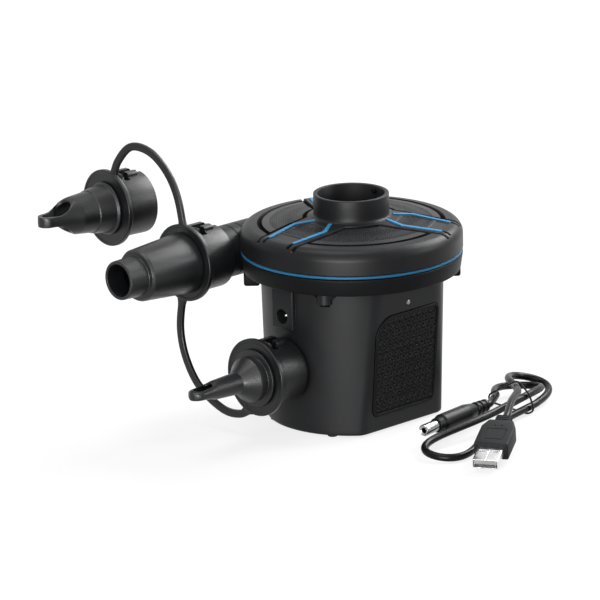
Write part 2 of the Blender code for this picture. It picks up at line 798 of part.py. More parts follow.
def make_base():
    """The base cover with its screws, and the feet."""
    plate = turned(
        "base_cover",
        [(0.0, PLATE_TOP_Z), (COVER_PLATE_R, PLATE_TOP_Z), (COVER_PLATE_R, BASE_Z), (0.0, BASE_Z)],
        BLACK, sides=BIG_SIDES,
    )
    for i, degrees in enumerate(BASE_SCREW_ANGLES):
        number = "%d" % (i + 1)
        at = ring_place(BASE_SCREW_RING_R, degrees, BASE_Z)
        combine(plate, screw_hole("base_screw_hole_" + number, BASE_SCREW_LENGTH, at))
        screw("base_screw_" + number, BASE_SCREW_LENGTH, at)
    top = BASE_Z + FOOT_SEAT_DEPTH - GAP
    for i, degrees in enumerate(FOOT_ANGLES):
        turned(
            "foot_%d" % (i + 1),
            [(0.0, top), (FOOT_R, top), (FOOT_R, GAP), (FOOT_R - GAP, 0.0), (0.0, 0.0)],
            RUBBER, ring_place(FOOT_RING_R, degrees), sides=SMALL_SIDES,
        )


def make_grips():
    """The textured pads on the two flat sides, each with a raised border."""
    for side, name in ((1, "right"), (-1, "left")):
        at = facet_frame(side) @ STAND_YZ
        pad = prism("grip_pad_" + name, [pad_outline(side, 0.0)], GAP - PAD_SEAT_DEPTH, PAD_PROUD, GRIP, at)
        field = prism("pad_field_" + name, [pad_outline(side, PAD_BORDER)], PAD_PROUD - PAD_FIELD_DEPTH,
                      PAD_PROUD + PAD_FIELD_DEPTH, None, at)
        combine(pad, as_cutter(field))


def make_rim(duct_room):
    """The lower half of the blower casing and the trim ring on it."""
    inner = LID_R - LID_WALL
    rim = turned(
        "blower_rim",
        [
            (LID_R, RIM_TOP_Z),
            (LID_R, RIM_Z + RIM_CHAMFER),
            (LID_R - RIM_CHAMFER, RIM_Z),
            (SHAFT_HOLE_R, RIM_Z),
            (SHAFT_HOLE_R, RIM_Z + RIM_FLOOR),
            (inner, RIM_Z + RIM_FLOOR),
            (inner, RIM_TOP_Z),
        ],
        BLACK, sides=BIG_SIDES,
    )
    for i, degrees in enumerate(BOSS_ANGLES):
        number = "%d" % (i + 1)
        at = ring_place(BOSS_RING_R, degrees, HOUSING_TOP_Z - BOSS_H)
        way = rod("rim_screw_way_" + number, SCREW_R + GAP, 0.0, BOSS_H + 2 * RIM_FLOOR, None, at, SCREW_SIDES)
        combine(rim, as_cutter(way))
        screw("lid_screw_" + number, BOSS_H + RIM_FLOOR, at)
    for side in (1, -1):
        way = rod("motor_screw_way_%d" % (side + 2), SCREW_R + GAP, RIM_Z - RIM_FLOOR,
                  RIM_Z + 2 * RIM_FLOOR, None, move(x=side * MOTOR_SCREW_X), SCREW_SIDES)
        combine(rim, as_cutter(way))
    for name, degrees, drop in (("right", RIGHT_LUG_ANGLE, RIGHT_LUG_DROP), ("left", LEFT_LUG_ANGLE, LEFT_LUG_DROP)):
        lug = box("rim_lug_" + name, (LUG_IN_R, -LUG_HALF_W, RIM_Z - drop),
                  (LUG_OUT_R, LUG_HALF_W, RIM_Z + RIM_FLOOR / 2), None, turn(math.radians(degrees), "Z"))
        combine(rim, as_cutter(soften(lug, LUG_ROUND)), "UNION")
    combine(rim, duct_room)
    outer = LID_R - TRIM_SUNK
    trim = turned(
        "trim_ring",
        [
            (outer, TRIM_Z + TRIM_H),
            (outer, TRIM_Z),
            (outer - TRIM_WIDTH, TRIM_Z),
            (outer - TRIM_WIDTH, TRIM_Z + TRIM_H),
        ],
        BLUE, sides=BIG_SIDES,
    )
    combine(trim, duct_room)


def arm_outline():
    """One arm of the cover seen from above, pointing along +X from the axis."""
    far = LID_R + COVER_ROUND_R
    near = COLLAR_BORE_R
    return [
        (near, -ARM_HALF_INNER),
        (ARM_KINK_A, -ARM_HALF_INNER),
        (far, -ARM_HALF_OUTER),
        (far, ARM_HALF_OUTER),
        (ARM_KINK_A, ARM_HALF_INNER),
        (near, ARM_HALF_INNER),
    ]


def make_cover(duct_room):
    """The top cover: conical top with sunken sectors, inlet collar and inlay strips."""
    inner_r = LID_R - LID_WALL
    skirt_r = COLLAR_BORE_R + COLLAR_SKIRT_WALL
    lip_r = COLLAR_BORE_R - COLLAR_LIP
    edge = COLLAR_WALL / 4
    shoulder = arc((COVER_EDGE_R, COVER_SHOULDER_Z), COVER_ROUND_R, 90, 0, 4)
    inside = arc((COVER_EDGE_R, COVER_SHOULDER_Z), COVER_ROUND_R - LID_WALL, 0, 90, 2)
    profile = [
        (COLLAR_R - edge, COLLAR_TOP_Z),
        (COLLAR_R, COLLAR_TOP_Z - edge),
        (COLLAR_R, cover_top(COLLAR_R)),
    ]
    profile += shoulder
    profile += [(LID_R, COVER_Z), (inner_r, COVER_Z)]
    profile += inside
    profile += [
        (skirt_r, cover_top(skirt_r) - COVER_SKIN),
        (skirt_r, COLLAR_SKIRT_Z),
        (lip_r, COLLAR_SKIRT_Z),
        (lip_r, COLLAR_SKIRT_Z + COLLAR_LIP_H),
        (COLLAR_BORE_R, COLLAR_SKIRT_Z + COLLAR_LIP_H),
        (COLLAR_BORE_R, COLLAR_TOP_Z - edge),
        (COLLAR_BORE_R + edge, COLLAR_TOP_Z),
    ]
    cover = turned("top_cover", profile, BLACK, sides=BIG_SIDES)

    sectors = as_cutter(turned(
        "sector_pockets",
        [
            (SECTOR_OUTER_R, COLLAR_TOP_Z),
            (SECTOR_OUTER_R, cover_top(SECTOR_OUTER_R) - SECTOR_DEPTH),
            (SECTOR_INNER_R, cover_top(SECTOR_INNER_R) - SECTOR_DEPTH),
            (SECTOR_INNER_R, COLLAR_TOP_Z),
        ],
        None, sides=BIG_SIDES,
    ))
    for i, degrees in enumerate(ARM_ANGLES):
        arm = prism("arm_%d" % (i + 1), [arm_outline()], RIM_Z, COLLAR_TOP_Z + GAP, None,
                    turn(math.radians(degrees), "Z"))
        combine(sectors, as_cutter(arm))
    combine(cover, sectors)
    make_strips(cover)
    for i in range(2):
        pin = rod("collar_pin_%d" % (i + 1), PIN_R, COLLAR_BORE_R - COLLAR_PIN_REACH,
                  COLLAR_BORE_R + COLLAR_WALL / 2, None,
                  turn(HALF_TURN * i, "Z") @ move(z=COLLAR_PIN_Z) @ FACE_BACK)
        combine(cover, as_cutter(pin), "UNION")
    combine(cover, duct_room)


def make_strips(cover):
    """The inlay strips, two on each arm, lying in grooves along the cover's slope."""
    middle = (STRIP_IN_A + STRIP_OUT_A) / 2
    tilt = turn(math.atan(COVER_SLOPE), "Y")
    number = 0
    for degrees in ARM_ANGLES:
        at = turn(math.radians(degrees), "Z") @ move(middle, 0.0, cover_top(middle)) @ tilt
        for side in (1, -1):
            number += 1
            route = [
                Vector((STRIP_IN_A - middle, side * STRIP_IN_SIDE)),
                Vector((ARM_KINK_A - middle, side * STRIP_KINK_SIDE)),
                Vector((STRIP_OUT_A - middle, side * STRIP_OUT_SIDE)),
            ]
            first = (route[0] - route[1]).normalized()
            last = (route[2] - route[1]).normalized()
            wider = [route[0] + first * GAP, route[1], route[2] + last * GAP]
            prism("inlay_strip_%d" % number, [band(route, STRIP_WIDTH / 2)],
                  STRIP_PROUD - STRIP_THICK, STRIP_PROUD, BLUE, at)
            groove = prism("strip_groove_%d" % number, [band(wider, STRIP_WIDTH / 2 + GAP)],
                           STRIP_PROUD - STRIP_THICK - GAP, STRIP_THICK, None, at)
            combine(cover, as_cutter(groove))


def make_guard():
    """The inlet guard that lies on the lip inside the collar."""
    outer = COLLAR_BORE_R - GAP
    low = COLLAR_SKIRT_Z + COLLAR_LIP_H + GAP
    high = low + GUARD_THICK
    guard = turned(
        "inlet_guard",
        [(outer, high), (outer, low), (outer - GUARD_RING_W, low), (outer - GUARD_RING_W, high)],
        BLACK,
    )
    inset = GUARD_THICK / 8
    hub = rod("guard_hub", GUARD_HUB_R, low + inset, high - inset, None, Matrix(), 24)
    combine(guard, as_cutter(hub), "UNION")
    reach = outer - GUARD_RING_W / 2
    for i in range(GUARD_BARS):
        bar = box("guard_bar_%d" % (i + 1), (-reach, -GUARD_BAR_W / 2, low + 2 * inset),
                  (reach, GUARD_BAR_W / 2, high - 2 * inset), None,
                  turn(HALF_TURN * i / GUARD_BARS, "Z"))
        combine(guard, as_cutter(bar), "UNION")


def make_motor():
    """The motor with its end cap and screws, its shaft and the impeller."""
    can = turned(
        "motor_can",
        [
            (0.0, MOTOR_TOP_Z),
            (MOTOR_R - SCREW_R, MOTOR_TOP_Z),
            (MOTOR_R, MOTOR_TOP_Z - SCREW_R),
            (MOTOR_R, MOTOR_BOTTOM_Z),
            (0.0, MOTOR_BOTTOM_Z),
        ],
        ZINC,
    )
    bore = rod("shaft_bore", SHAFT_R + GAP, MOTOR_TOP_Z - SHAFT_DEPTH, RIM_TOP_Z, None)
    combine(can, as_cutter(bore))
    head_z = RIM_Z + RIM_FLOOR + GAP + SCREW_HEAD_H
    for i, side in enumerate((1, -1)):
        at = move(side * MOTOR_SCREW_X, 0.0, head_z) @ turn(HALF_TURN, "X")
        screw("motor_screw_%d" % (i + 1), MOTOR_SCREW_LENGTH, at)
        way = rod("motor_thread_%d" % (i + 1), SCREW_R + GAP, head_z - MOTOR_SCREW_LENGTH - GAP, head_z,
                  None, move(x=side * MOTOR_SCREW_X), SCREW_SIDES)
        combine(can, as_cutter(way))
    cap_top = MOTOR_BOTTOM_Z - GAP
    turned(
        "motor_end_cap",
        [
            (0.0, cap_top),
            (MOTOR_CAP_R, cap_top),
            (MOTOR_CAP_R, cap_top - MOTOR_CAP_H / 2),
            (MOTOR_CAP_R / 2, cap_top - MOTOR_CAP_H),
            (0.0, cap_top - MOTOR_CAP_H),
        ],
        WHITE,
    )
    hub_top = IMPELLER_Z + IMPELLER_H
    shaft_low = MOTOR_TOP_Z - SHAFT_DEPTH + GAP
    turned(
        "motor_shaft",
        [(0.0, hub_top), (SHAFT_R, hub_top), (SHAFT_R, shaft_low), (0.0, shaft_low)],
        STEEL, sides=SMALL_SIDES,
    )
    impeller = turned(
        "impeller",
        [
            (IMPELLER_HUB_R, hub_top),
            (IMPELLER_HUB_R, IMPELLER_Z + IMPELLER_PLATE),
            (IMPELLER_R, IMPELLER_Z + IMPELLER_PLATE),
            (IMPELLER_R, IMPELLER_Z),
            (SHAFT_R + GAP, IMPELLER_Z),
            (SHAFT_R + GAP, hub_top),
        ],
        WHITE,
    )
    reach = IMPELLER_R - GAP
    for i in range(BLADE_COUNT):
        route = []
        for k in range(5):
            share = k / 4
            radius = BLADE_ROOT_R + (reach - BLADE_ROOT_R) * share
            angle = BLADE_SWEEP * share
            route.append(Vector((radius * math.cos(angle), radius * math.sin(angle))))
        blade = prism("blade_%d" % (i + 1), [band(route, BLADE_THICK / 2)],
                      IMPELLER_Z + IMPELLER_PLATE / 2, hub_top - GAP, None,
                      turn(2 * math.pi * i / BLADE_COUNT, "Z"))
        combine(impeller, as_cutter(blade), "UNION")


def make_battery():
    """Two battery cells standing in a holder at the back, and the control board in front."""
    low = FLOOR_TOP_Z + GAP
    cell_low = low + HOLDER_FLOOR + GAP
    room = CELL_R + GAP
    holder = box(
        "battery_holder",
        (-CELL_X - room - HOLDER_WALL, CELL_Y - room - HOLDER_WALL, low),
        (CELL_X + room + HOLDER_WALL, CELL_Y + room - HOLDER_WALL, low + HOLDER_H), BLACK,
    )
    for i, side in enumerate((1, -1)):
        at = move(side * CELL_X, CELL_Y)
        cup = rod("cell_cup_%d" % (i + 1), room, cell_low - GAP, low + 2 * HOLDER_H, None, at, ROUND_SIDES)
        combine(holder, as_cutter(cup))
        turned(
            "battery_cell_%d" % (i + 1),
            [
                (0.0, cell_low + CELL_LENGTH),
                (CELL_R / 3, cell_low + CELL_LENGTH),
                (CELL_R / 3, cell_low + CELL_LENGTH - SCREW_R),
                (CELL_R, cell_low + CELL_LENGTH - SCREW_R),
                (CELL_R, cell_low),
                (0.0, cell_low),
            ],
            CELL_WRAP, at, sides=20,
        )
    foot = PLATE_TOP_Z + GAP
    box("control_board", (-BOARD_W / 2, BOARD_Y - BOARD_THICK / 2, foot),
        (BOARD_W / 2, BOARD_Y + BOARD_THICK / 2, foot + BOARD_H), BOARD_GREEN)


def make_jack_and_lamp():
    """The charge jack behind the front panel, its pin in the panel's hole, and the status lamp."""
    front = GAP - INNER_FLAT_Y
    tip = front - JACK_FACE_Y - JACK_PIN_DEPTH
    jack = box(
        "charge_jack",
        (JACK_X - JACK_BODY_W / 2, front, JACK_Z - JACK_BODY_H / 2),
        (JACK_X + JACK_BODY_W / 2, front + JACK_BODY_D, JACK_Z + JACK_BODY_H / 2), BLACK,
    )
    at = move(JACK_X, front, JACK_Z) @ FACE_FRONT
    combine(jack, as_cutter(rod("jack_socket", JACK_SOCKET_R, -JACK_SOCKET_D, JACK_BODY_D, None, at, 24)))
    seat = rod("jack_pin_seat", JACK_PIN_R + GAP, -JACK_SOCKET_D - JACK_PIN_SEAT, 0.0, None, at)
    combine(jack, as_cutter(seat))
    turned(
        "charge_jack_pin",
        [
            (0.0, tip),
            (JACK_PIN_R / 2, tip),
            (JACK_PIN_R, tip - JACK_PIN_R / 2),
            (JACK_PIN_R, GAP - JACK_SOCKET_D - JACK_PIN_SEAT),
            (0.0, GAP - JACK_SOCKET_D - JACK_PIN_SEAT),
        ],
        STEEL, at, sides=SMALL_SIDES,
    )
    lamp_at = facet_frame(1) @ move(z=LAMP_Z) @ turn(QUARTER_TURN, "Y")
    turned(
        "status_lamp",
        [
            (0.0, LAMP_PROUD),
            (LAMP_R / 2, LAMP_PROUD),
            (LAMP_R, 0.0),
            (LAMP_R, LAMP_PROUD - LAMP_LENGTH),
            (0.0, LAMP_PROUD - LAMP_LENGTH),
        ],
        LENS, lamp_at, sides=SMALL_SIDES,
    )


def make_switch():
    """The power switch: a bezelled body in the back wall and a rocker on its pivot."""
    face = SWITCH_FACE_Y + GAP
    bezel_top = face + SWITCH_BEZEL_T
    half_w = SWITCH_BODY_W / 2
    half_h = SWITCH_BODY_H / 2
    body = box("switch_body", (-half_w, bezel_top - SWITCH_BODY_D, SWITCH_Z - half_h),
               (half_w, bezel_top - GAP, SWITCH_Z + half_h), BLACK)
    half_w = SWITCH_BEZEL_W / 2
    half_h = SWITCH_BEZEL_H / 2
    bezel = box("switch_bezel", (-half_w, face, SWITCH_Z - half_h), (half_w, bezel_top, SWITCH_Z + half_h))
    combine(body, as_cutter(bezel), "UNION")
    half_w = ROCKER_W / 2 + GAP
    half_h = ROCKER_HALF_H + RUN_GAP
    pocket = box("rocker_pocket", (-half_w, bezel_top - ROCKER_POCKET_D, SWITCH_Z - half_h),
                 (half_w, bezel_top + SWITCH_BEZEL_T, SWITCH_Z + half_h))
    combine(body, as_cutter(pocket))
    pivot = move(0.0, bezel_top - ROCKER_PIVOT_IN, SWITCH_Z)
    across = turn(QUARTER_TURN, "Y")
    reach = SWITCH_BODY_W / 2 - GAP
    pin_way = rod("rocker_pin_way", ROCKER_PIN_R + GAP, -SWITCH_BODY_W, SWITCH_BODY_W, None, pivot @ across)
    combine(body, as_cutter(pin_way))

    low = ROCKER_HALF_H * 0.4
    outline = [
        (-ROCKER_PIVOT_IN, -low),
        (ROCKER_PIVOT_IN * 0.5, -ROCKER_HALF_H),
        (ROCKER_PIVOT_IN * 1.3, -ROCKER_HALF_H * 0.96),
        (ROCKER_PIVOT_IN * 0.9, 0.0),
        (ROCKER_PIVOT_IN * 1.3, ROCKER_HALF_H * 0.96),
        (ROCKER_PIVOT_IN * 0.5, ROCKER_HALF_H),
        (-ROCKER_PIVOT_IN, low),
    ]
    rest = pivot @ turn(-ROCKER_TILT, "X")
    rocker = prism("switch_rocker", [outline], -ROCKER_W / 2, ROCKER_W / 2, BLACK,
                   rest @ STAND_YZ)
    pin = rod("rocker_pin", ROCKER_PIN_R, -reach, reach, None, pivot @ across)
    combine(rocker, as_cutter(pin), "UNION")


def make_dock():
    """The hollow post on the front wall that keeps a nozzle."""
    length = DOCK_SEAT_Y - SPIGOT_END_Y
    edge = DOCK_WALL / 4
    at = move(DOCK_X, DOCK_SEAT_Y, DOCK_Z) @ FACE_FRONT
    dock = turned(
        "nozzle_dock",
        [
            (0.0, DOCK_FLOOR),
            (SPIGOT_R - DOCK_WALL, DOCK_FLOOR),
            (SPIGOT_R - DOCK_WALL, length),
            (SPIGOT_R - edge, length),
            (SPIGOT_R, length - edge),
            (SPIGOT_R, 0.0),
            (0.0, 0.0),
        ],
        BLACK, at,
    )
    pin = rod("dock_pin", PIN_R, SPIGOT_R - DOCK_WALL / 2, SPIGOT_R + PIN_REACH, None,
              move(DOCK_X, PIN_Y, DOCK_Z))
    combine(dock, as_cutter(pin), "UNION")


def nozzle_frame(x, z, yaw=0.0):
    """A nozzle's frame in the flange plane: its Z points to the tip, its Y up."""
    return move(x, FLANGE_Y, z) @ turn(yaw, "Z") @ FACE_FRONT


def nozzle_axis(name, frame):
    """An empty on a nozzle's axis."""
    axis = bpy.data.objects.new(name + "_axis", None)
    PARTS.objects.link(axis)
    axis.matrix_world = frame
    bpy.context.view_layer.update()
    return axis


def on_axis(obj, axis):
    """Parent an object to an axis, in the axis's own frame."""
    obj.parent = axis
    obj.matrix_parent_inverse = Matrix()
    return obj


def socket_profile(bore_front):
    """The neck groove, the socket and its bore, from the flange back and in again."""
    return [
        (NECK_R, GAP),
        (NECK_R, SOCKET_START_S),
        (SOCKET_R - NOZZLE_EDGE, SOCKET_START_S),
        (SOCKET_R, SOCKET_START_S - NOZZLE_EDGE),
        (SOCKET_R, SOCKET_END_S + NOZZLE_EDGE),
        (SOCKET_R - NOZZLE_EDGE, SOCKET_END_S),
        (SOCKET_BORE_R, SOCKET_END_S),
        (SOCKET_BORE_R, SOCKET_FLOOR_S),
        (NECK_BORE_R, SOCKET_FLOOR_S + GAP),
        (NECK_BORE_R, bore_front),
    ]


def add_bayonet(nozzle, name, axis):
    """The raised pad on a socket's top and the L slot for the spigot's pin under it."""
    pad = box("slot_pad_" + name, (-PAD_HALF_W, SOCKET_R - PAD_RISE * 2, -PAD_BACK_REAR),
              (PAD_HALF_W, SOCKET_R + PAD_RISE, -PAD_BACK_FRONT))
    on_axis(as_cutter(soften(pad, PAD_RISE / 2, 1)), axis)
    combine(nozzle, pad, "UNION")
    deep = SPIGOT_R * 0.75
    high = SOCKET_R + 2 * PAD_RISE
    back = SOCKET_END_S - SLOT_W
    front = SLOT_W / 2 - SLOT_BACK
    along = box("slot_along_" + name, (-SLOT_W / 2, deep, back), (SLOT_W / 2, high, front))
    on_axis(as_cutter(along), axis)
    combine(nozzle, along)
    reach = SOCKET_R * math.sin(SLOT_TWIST) + SLOT_W / 2
    across = box("slot_across_" + name, (-SLOT_W / 2 - GAP, deep, -SLOT_W / 2 - SLOT_BACK),
                 (reach, high, front - GAP))
    on_axis(as_cutter(across), axis)
    combine(nozzle, across)


def loop_outlines(root_s, root_half, tip_s, tip_r, width):
    """A U shaped loop seen from above: its outer and inner edges as one band."""
    outer = [(root_half, root_s)]
    outer += arc((0.0, tip_s), tip_r, 0, 180, 10)
    outer.append((-root_half, root_s))
    inner = [(-root_half + width, root_s)]
    inner += arc((0.0, tip_s), tip_r - width, 180, 0, 8)
    inner.append((root_half - width, root_s))
    return [outer + inner]


# Lays a flat outline (x, s) along a nozzle's axis, raised across it.
ALONG_NOZZLE = turn(QUARTER_TURN, "X")


def make_large_nozzle():
    """The large stepped nozzle on the outlet."""
    axis = nozzle_axis("nozzle_large", nozzle_frame(OUTLET_X, OUTLET_Z))
    lip = LARGE_MOUTH_R - NOZZLE_EDGE
    profile = [
        (lip, LARGE_MOUTH_S),
        (LARGE_MOUTH_R, LARGE_MOUTH_S - NOZZLE_EDGE),
        (LARGE_MOUTH_R + NOZZLE_EDGE, LARGE_STEP_S),
        (LARGE_SHOULDER_R - 2 * NOZZLE_EDGE, LARGE_STEP_S - NOZZLE_EDGE),
        (LARGE_SHOULDER_R, LARGE_SHOULDER_S),
        (LARGE_BASE_R, GAP + NOZZLE_EDGE),
        (LARGE_BASE_R - NOZZLE_EDGE, GAP),
    ]
    profile += socket_profile(LARGE_SHOULDER_S - NOZZLE_EDGE)
    profile += [(LARGE_BORE_R, LARGE_STEP_S), (LARGE_BORE_R, LARGE_MOUTH_S)]
    nozzle = on_axis(turned("nozzle_large", profile, BLACK), axis)
    add_bayonet(nozzle, "large", axis)


def make_pinch_nozzle():
    """The pinch valve nozzle with its loop, hanging on the tether."""
    axis = nozzle_axis("nozzle_pinch", nozzle_frame(PINCH_X, PINCH_Z, PINCH_YAW))
    profile = [
        (PINCH_END_R - NOZZLE_EDGE, PINCH_END_S),
        (PINCH_END_R, PINCH_END_S - NOZZLE_EDGE),
        (PINCH_CONE_R, GAP + PINCH_WALL),
        (PINCH_BASE_R, GAP + PINCH_WALL / 2),
        (PINCH_BASE_R, GAP),
    ]
    profile += socket_profile(GAP + NOZZLE_EDGE)
    profile.append((PINCH_END_R - PINCH_WALL, PINCH_END_S))
    nozzle = on_axis(turned("nozzle_pinch", profile, BLACK), axis)
    outlines = loop_outlines(PINCH_LOOP_ROOT_S, PINCH_END_R, PINCH_LOOP_S, PINCH_LOOP_TIP_R,
                             PINCH_LOOP_BAND)
    loop = prism("pinch_loop", outlines, -PINCH_LOOP_H / 2, PINCH_LOOP_H / 2)
    loop.matrix_world = ALONG_NOZZLE
    on_axis(as_cutter(loop), axis)
    combine(nozzle, loop, "UNION")
    add_bayonet(nozzle, "pinch", axis)


def make_fine_nozzle():
    """The fine valve nozzle with its loop, kept on the docking post."""
    axis = nozzle_axis("nozzle_fine", nozzle_frame(DOCK_X, DOCK_Z))
    profile = [
        (FINE_END_R, FINE_END_S),
        (FINE_TUBE_R, FINE_TUBE_S),
        ((FINE_TUBE_R + FINE_DRUM_R) / 2 - NOZZLE_EDGE, (FINE_TUBE_S + FINE_DRUM_S) / 2),
        (FINE_DRUM_R - NOZZLE_EDGE, FINE_DRUM_S),
        (FINE_DRUM_R, FINE_DRUM_S - NOZZLE_EDGE),
        (FINE_DRUM_R, FINE_BASE_S),
        (FINE_BASE_R - NOZZLE_EDGE, FINE_BASE_S),
        (FINE_BASE_R, FINE_BASE_S - NOZZLE_EDGE),
        (FINE_BASE_R, GAP),
    ]
    profile += socket_profile(FINE_DRUM_S - FINE_BASE_S)
    profile += [
        (FINE_TUBE_R - FINE_WALL, FINE_TUBE_S),
        (FINE_END_R - FINE_WALL, FINE_END_S),
    ]
    nozzle = on_axis(turned("nozzle_fine", profile, BLACK), axis)
    outlines = loop_outlines(FINE_LOOP_ROOT_S, FINE_END_R, FINE_LOOP_S, FINE_LOOP_TIP_R, FINE_LOOP_BAND)
    loop = prism("fine_loop", outlines, -FINE_LOOP_H / 2, FINE_LOOP_H / 2)
    loop.matrix_world = ALONG_NOZZLE
    on_axis(as_cutter(loop), axis)
    combine(nozzle, loop, "UNION")
    add_bayonet(nozzle, "fine", axis)


def make_tether():
    """The moulded tether: a ring in each nozzle's neck groove and two straps in the same plane."""
    inner = NECK_R + GAP
    frames = (
        nozzle_frame(OUTLET_X, OUTLET_Z),
        nozzle_frame(PINCH_X, PINCH_Z, PINCH_YAW),
        nozzle_frame(DOCK_X, DOCK_Z),
    )
    rings = []
    for i, frame in enumerate(frames):
        rings.append(turned(
            "tether" if i == 0 else "tether_ring_%d" % (i + 1),
            [
                (RING_R - NOZZLE_EDGE, 0.0),
                (RING_R, -NOZZLE_EDGE),
                (RING_R, NOZZLE_EDGE - RING_THICK),
                (RING_R - NOZZLE_EDGE, -RING_THICK),
                (inner, -RING_THICK),
                (inner, 0.0),
            ],
            TETHER, frame,
        ))
    tether = rings[0]
    inset = (RING_THICK - STRAP_THICK) / 2
    for name, points in (("upper", UPPER_STRAP), ("lower", LOWER_STRAP)):
        route = smooth_route([(x, z, 0.0) for x, z in points], STRAP_STEP)
        flat = [Vector((p[0], p[1])) for p in route]
        strap = prism("tether_strap_" + name, [band(flat, STRAP_WIDTH / 2)], inset - RING_THICK, -inset, None,
                      move(y=FLANGE_Y) @ FACE_FRONT)
        combine(tether, as_cutter(strap), "UNION")
    for ring in rings[1:]:
        combine(tether, as_cutter(ring), "UNION")


def plug_frame():
    """The round plug's frame: Z from its rear end to its tip."""
    along = (PLUG_TIP - PLUG_REAR).normalized()
    return Matrix.Translation(PLUG_REAR) @ along.to_track_quat("Z", "Y").to_matrix().to_4x4()


def make_round_plug():
    """The round charge plug: moulded body with relief rings, and the metal barrel."""
    total = (PLUG_TIP - PLUG_REAR).length
    front = total - PLUG_BARREL_LENGTH
    back = front - PLUG_BODY_LENGTH
    pitch = back / PLUG_RELIEF_RINGS
    profile = [
        (PLUG_BARREL_R + GAP, front),
        (PLUG_BODY_R * 0.75, front),
        (PLUG_BODY_R, front - PLUG_BODY_R),
        (PLUG_BODY_R, back + PLUG_BODY_R),
        (PLUG_RELIEF_R, back),
    ]
    for i in range(PLUG_RELIEF_RINGS):
        top = back - pitch * i
        profile += [
            (PLUG_RELIEF_WAIST_R, top - pitch * 0.1),
            (PLUG_RELIEF_WAIST_R, top - pitch * 0.5),
            (PLUG_RELIEF_R, top - pitch * 0.5),
            (PLUG_RELIEF_R, top - pitch * 0.95),
        ]
    profile += [
        (PLUG_RELIEF_R, 0.0),
        (0.0, 0.0),
        (0.0, front - PLUG_BARREL_SEAT - GAP),
        (PLUG_BARREL_R + GAP, front - PLUG_BARREL_SEAT - GAP),
    ]
    ordered = profile[-2:-1] + profile[-1:] + profile[:-2]
    turned("round_plug_body", ordered, CABLE, plug_frame(), sides=20)
    turned(
        "round_plug_barrel",
        [
            (PLUG_BARREL_R - GAP, total),
            (PLUG_BARREL_R, total - GAP),
            (PLUG_BARREL_R, front - PLUG_BARREL_SEAT),
            (PLUG_BARREL_BORE_R, front - PLUG_BARREL_SEAT),
            (PLUG_BARREL_BORE_R, total),
        ],
        STEEL, plug_frame(), sides=20,
    )


def usb_frame():
    """The flat plug's frame: X from its tip to its rear, Z up from its wide side."""
    return (Matrix.Translation(USB_TIP) @ turn(USB_HEADING + HALF_TURN, "Z") @ turn(-USB_PITCH, "Y"))


def make_flat_plug():
    """The flat plug: moulded body with a neck, metal shell and the tongue inside it."""
    at = usb_frame()
    body_start = USB_SHELL_LENGTH
    body_end = body_start + USB_BODY_LENGTH
    body = box("flat_plug_body", (body_start, -USB_BODY_W / 2, -USB_BODY_H / 2),
               (body_end, USB_BODY_W / 2, USB_BODY_H / 2), CABLE, at)
    soften(body, USB_BODY_ROUND)
    neck = box("flat_plug_neck", (body_end - USB_BODY_ROUND * 2, -USB_RELIEF_W / 2, -USB_RELIEF_H / 2),
               (body_end + USB_RELIEF_LENGTH, USB_RELIEF_W / 2, USB_RELIEF_H / 2), None, at)
    combine(body, as_cutter(neck), "UNION")
    seat_end = body_start + USB_SHELL_SEAT
    half_w = USB_SHELL_W / 2
    half_h = USB_SHELL_H / 2
    socket = box("flat_plug_socket", (0.0, -half_w - GAP, -half_h - GAP),
                 (seat_end + GAP, half_w + GAP, half_h + GAP), None, at)
    combine(body, as_cutter(socket))
    shell = box("flat_plug_shell", (0.0, -half_w, -half_h), (seat_end, half_w, half_h), STEEL, at)
    wall = USB_SHELL_WALL
    hollow = box("flat_plug_hollow", (-wall, wall - half_w, wall - half_h),
                 (seat_end - wall, half_w - wall, half_h - wall), None, at)
    combine(shell, as_cutter(hollow))
    top = half_h - wall - GAP
    box("flat_plug_tongue", (wall, -USB_TONGUE_W / 2, top - USB_TONGUE_H),
        (seat_end - wall - GAP, USB_TONGUE_W / 2, top), WHITE, at)


def loop_path(loop):
    """One loop of the hank, from the tie out and back to it, as a drop shape."""
    heading = math.radians(loop["heading"])
    along = Vector((math.cos(heading), math.sin(heading), 0.0))
    side = Vector((along.y, -along.x, 0.0))
    start_side, end_side = loop["sides"]
    start_z, end_z = loop["heights"]
    power = loop["power"]
    widest = 2 * ((power + 1) / (power + 2)) ** ((power + 1) / 2) / math.sqrt(power + 2)
    points = []
    for i in range(1, LOOP_POINTS):
        phase = 2 * math.pi * i / LOOP_POINTS
        out = math.sin(phase / 2)
        share = (1 - math.cos(phase / 2)) / 2
        swell = -loop["half"] * math.sin(phase) * out**power / widest
        sideways = start_side + (end_side - start_side) * share + swell + loop["skew"] * out**2
        height = start_z + (end_z - start_z) * share + loop["lift"] * out**2
        points.append(TIE_AT + along * loop["length"] * out + side * sideways + Vector((0, 0, height)))
    return points


def cable_route():
    """The whole cable as one route: round plug, three loops through the tie, flat plug."""
    plug_back = (PLUG_REAR - PLUG_TIP).normalized()
    usb = usb_frame()
    neck = USB_SHELL_LENGTH + USB_BODY_LENGTH + USB_RELIEF_LENGTH
    usb_back = (usb.to_3x3() @ Vector((1.0, 0.0, 0.0))).normalized()
    usb_end = usb @ Vector((neck, 0.0, 0.0))
    route = [PLUG_REAR + plug_back * GAP, PLUG_REAR + plug_back * CABLE_D]
    route += loop_path(BACK_UPPER)
    route += loop_path(FRONT)
    route += loop_path(BACK_LOWER)
    route += [Vector(place) for place in RUN_OUT]
    route += [usb_end + usb_back * CABLE_D * 1.5, usb_end + usb_back * GAP]
    return route


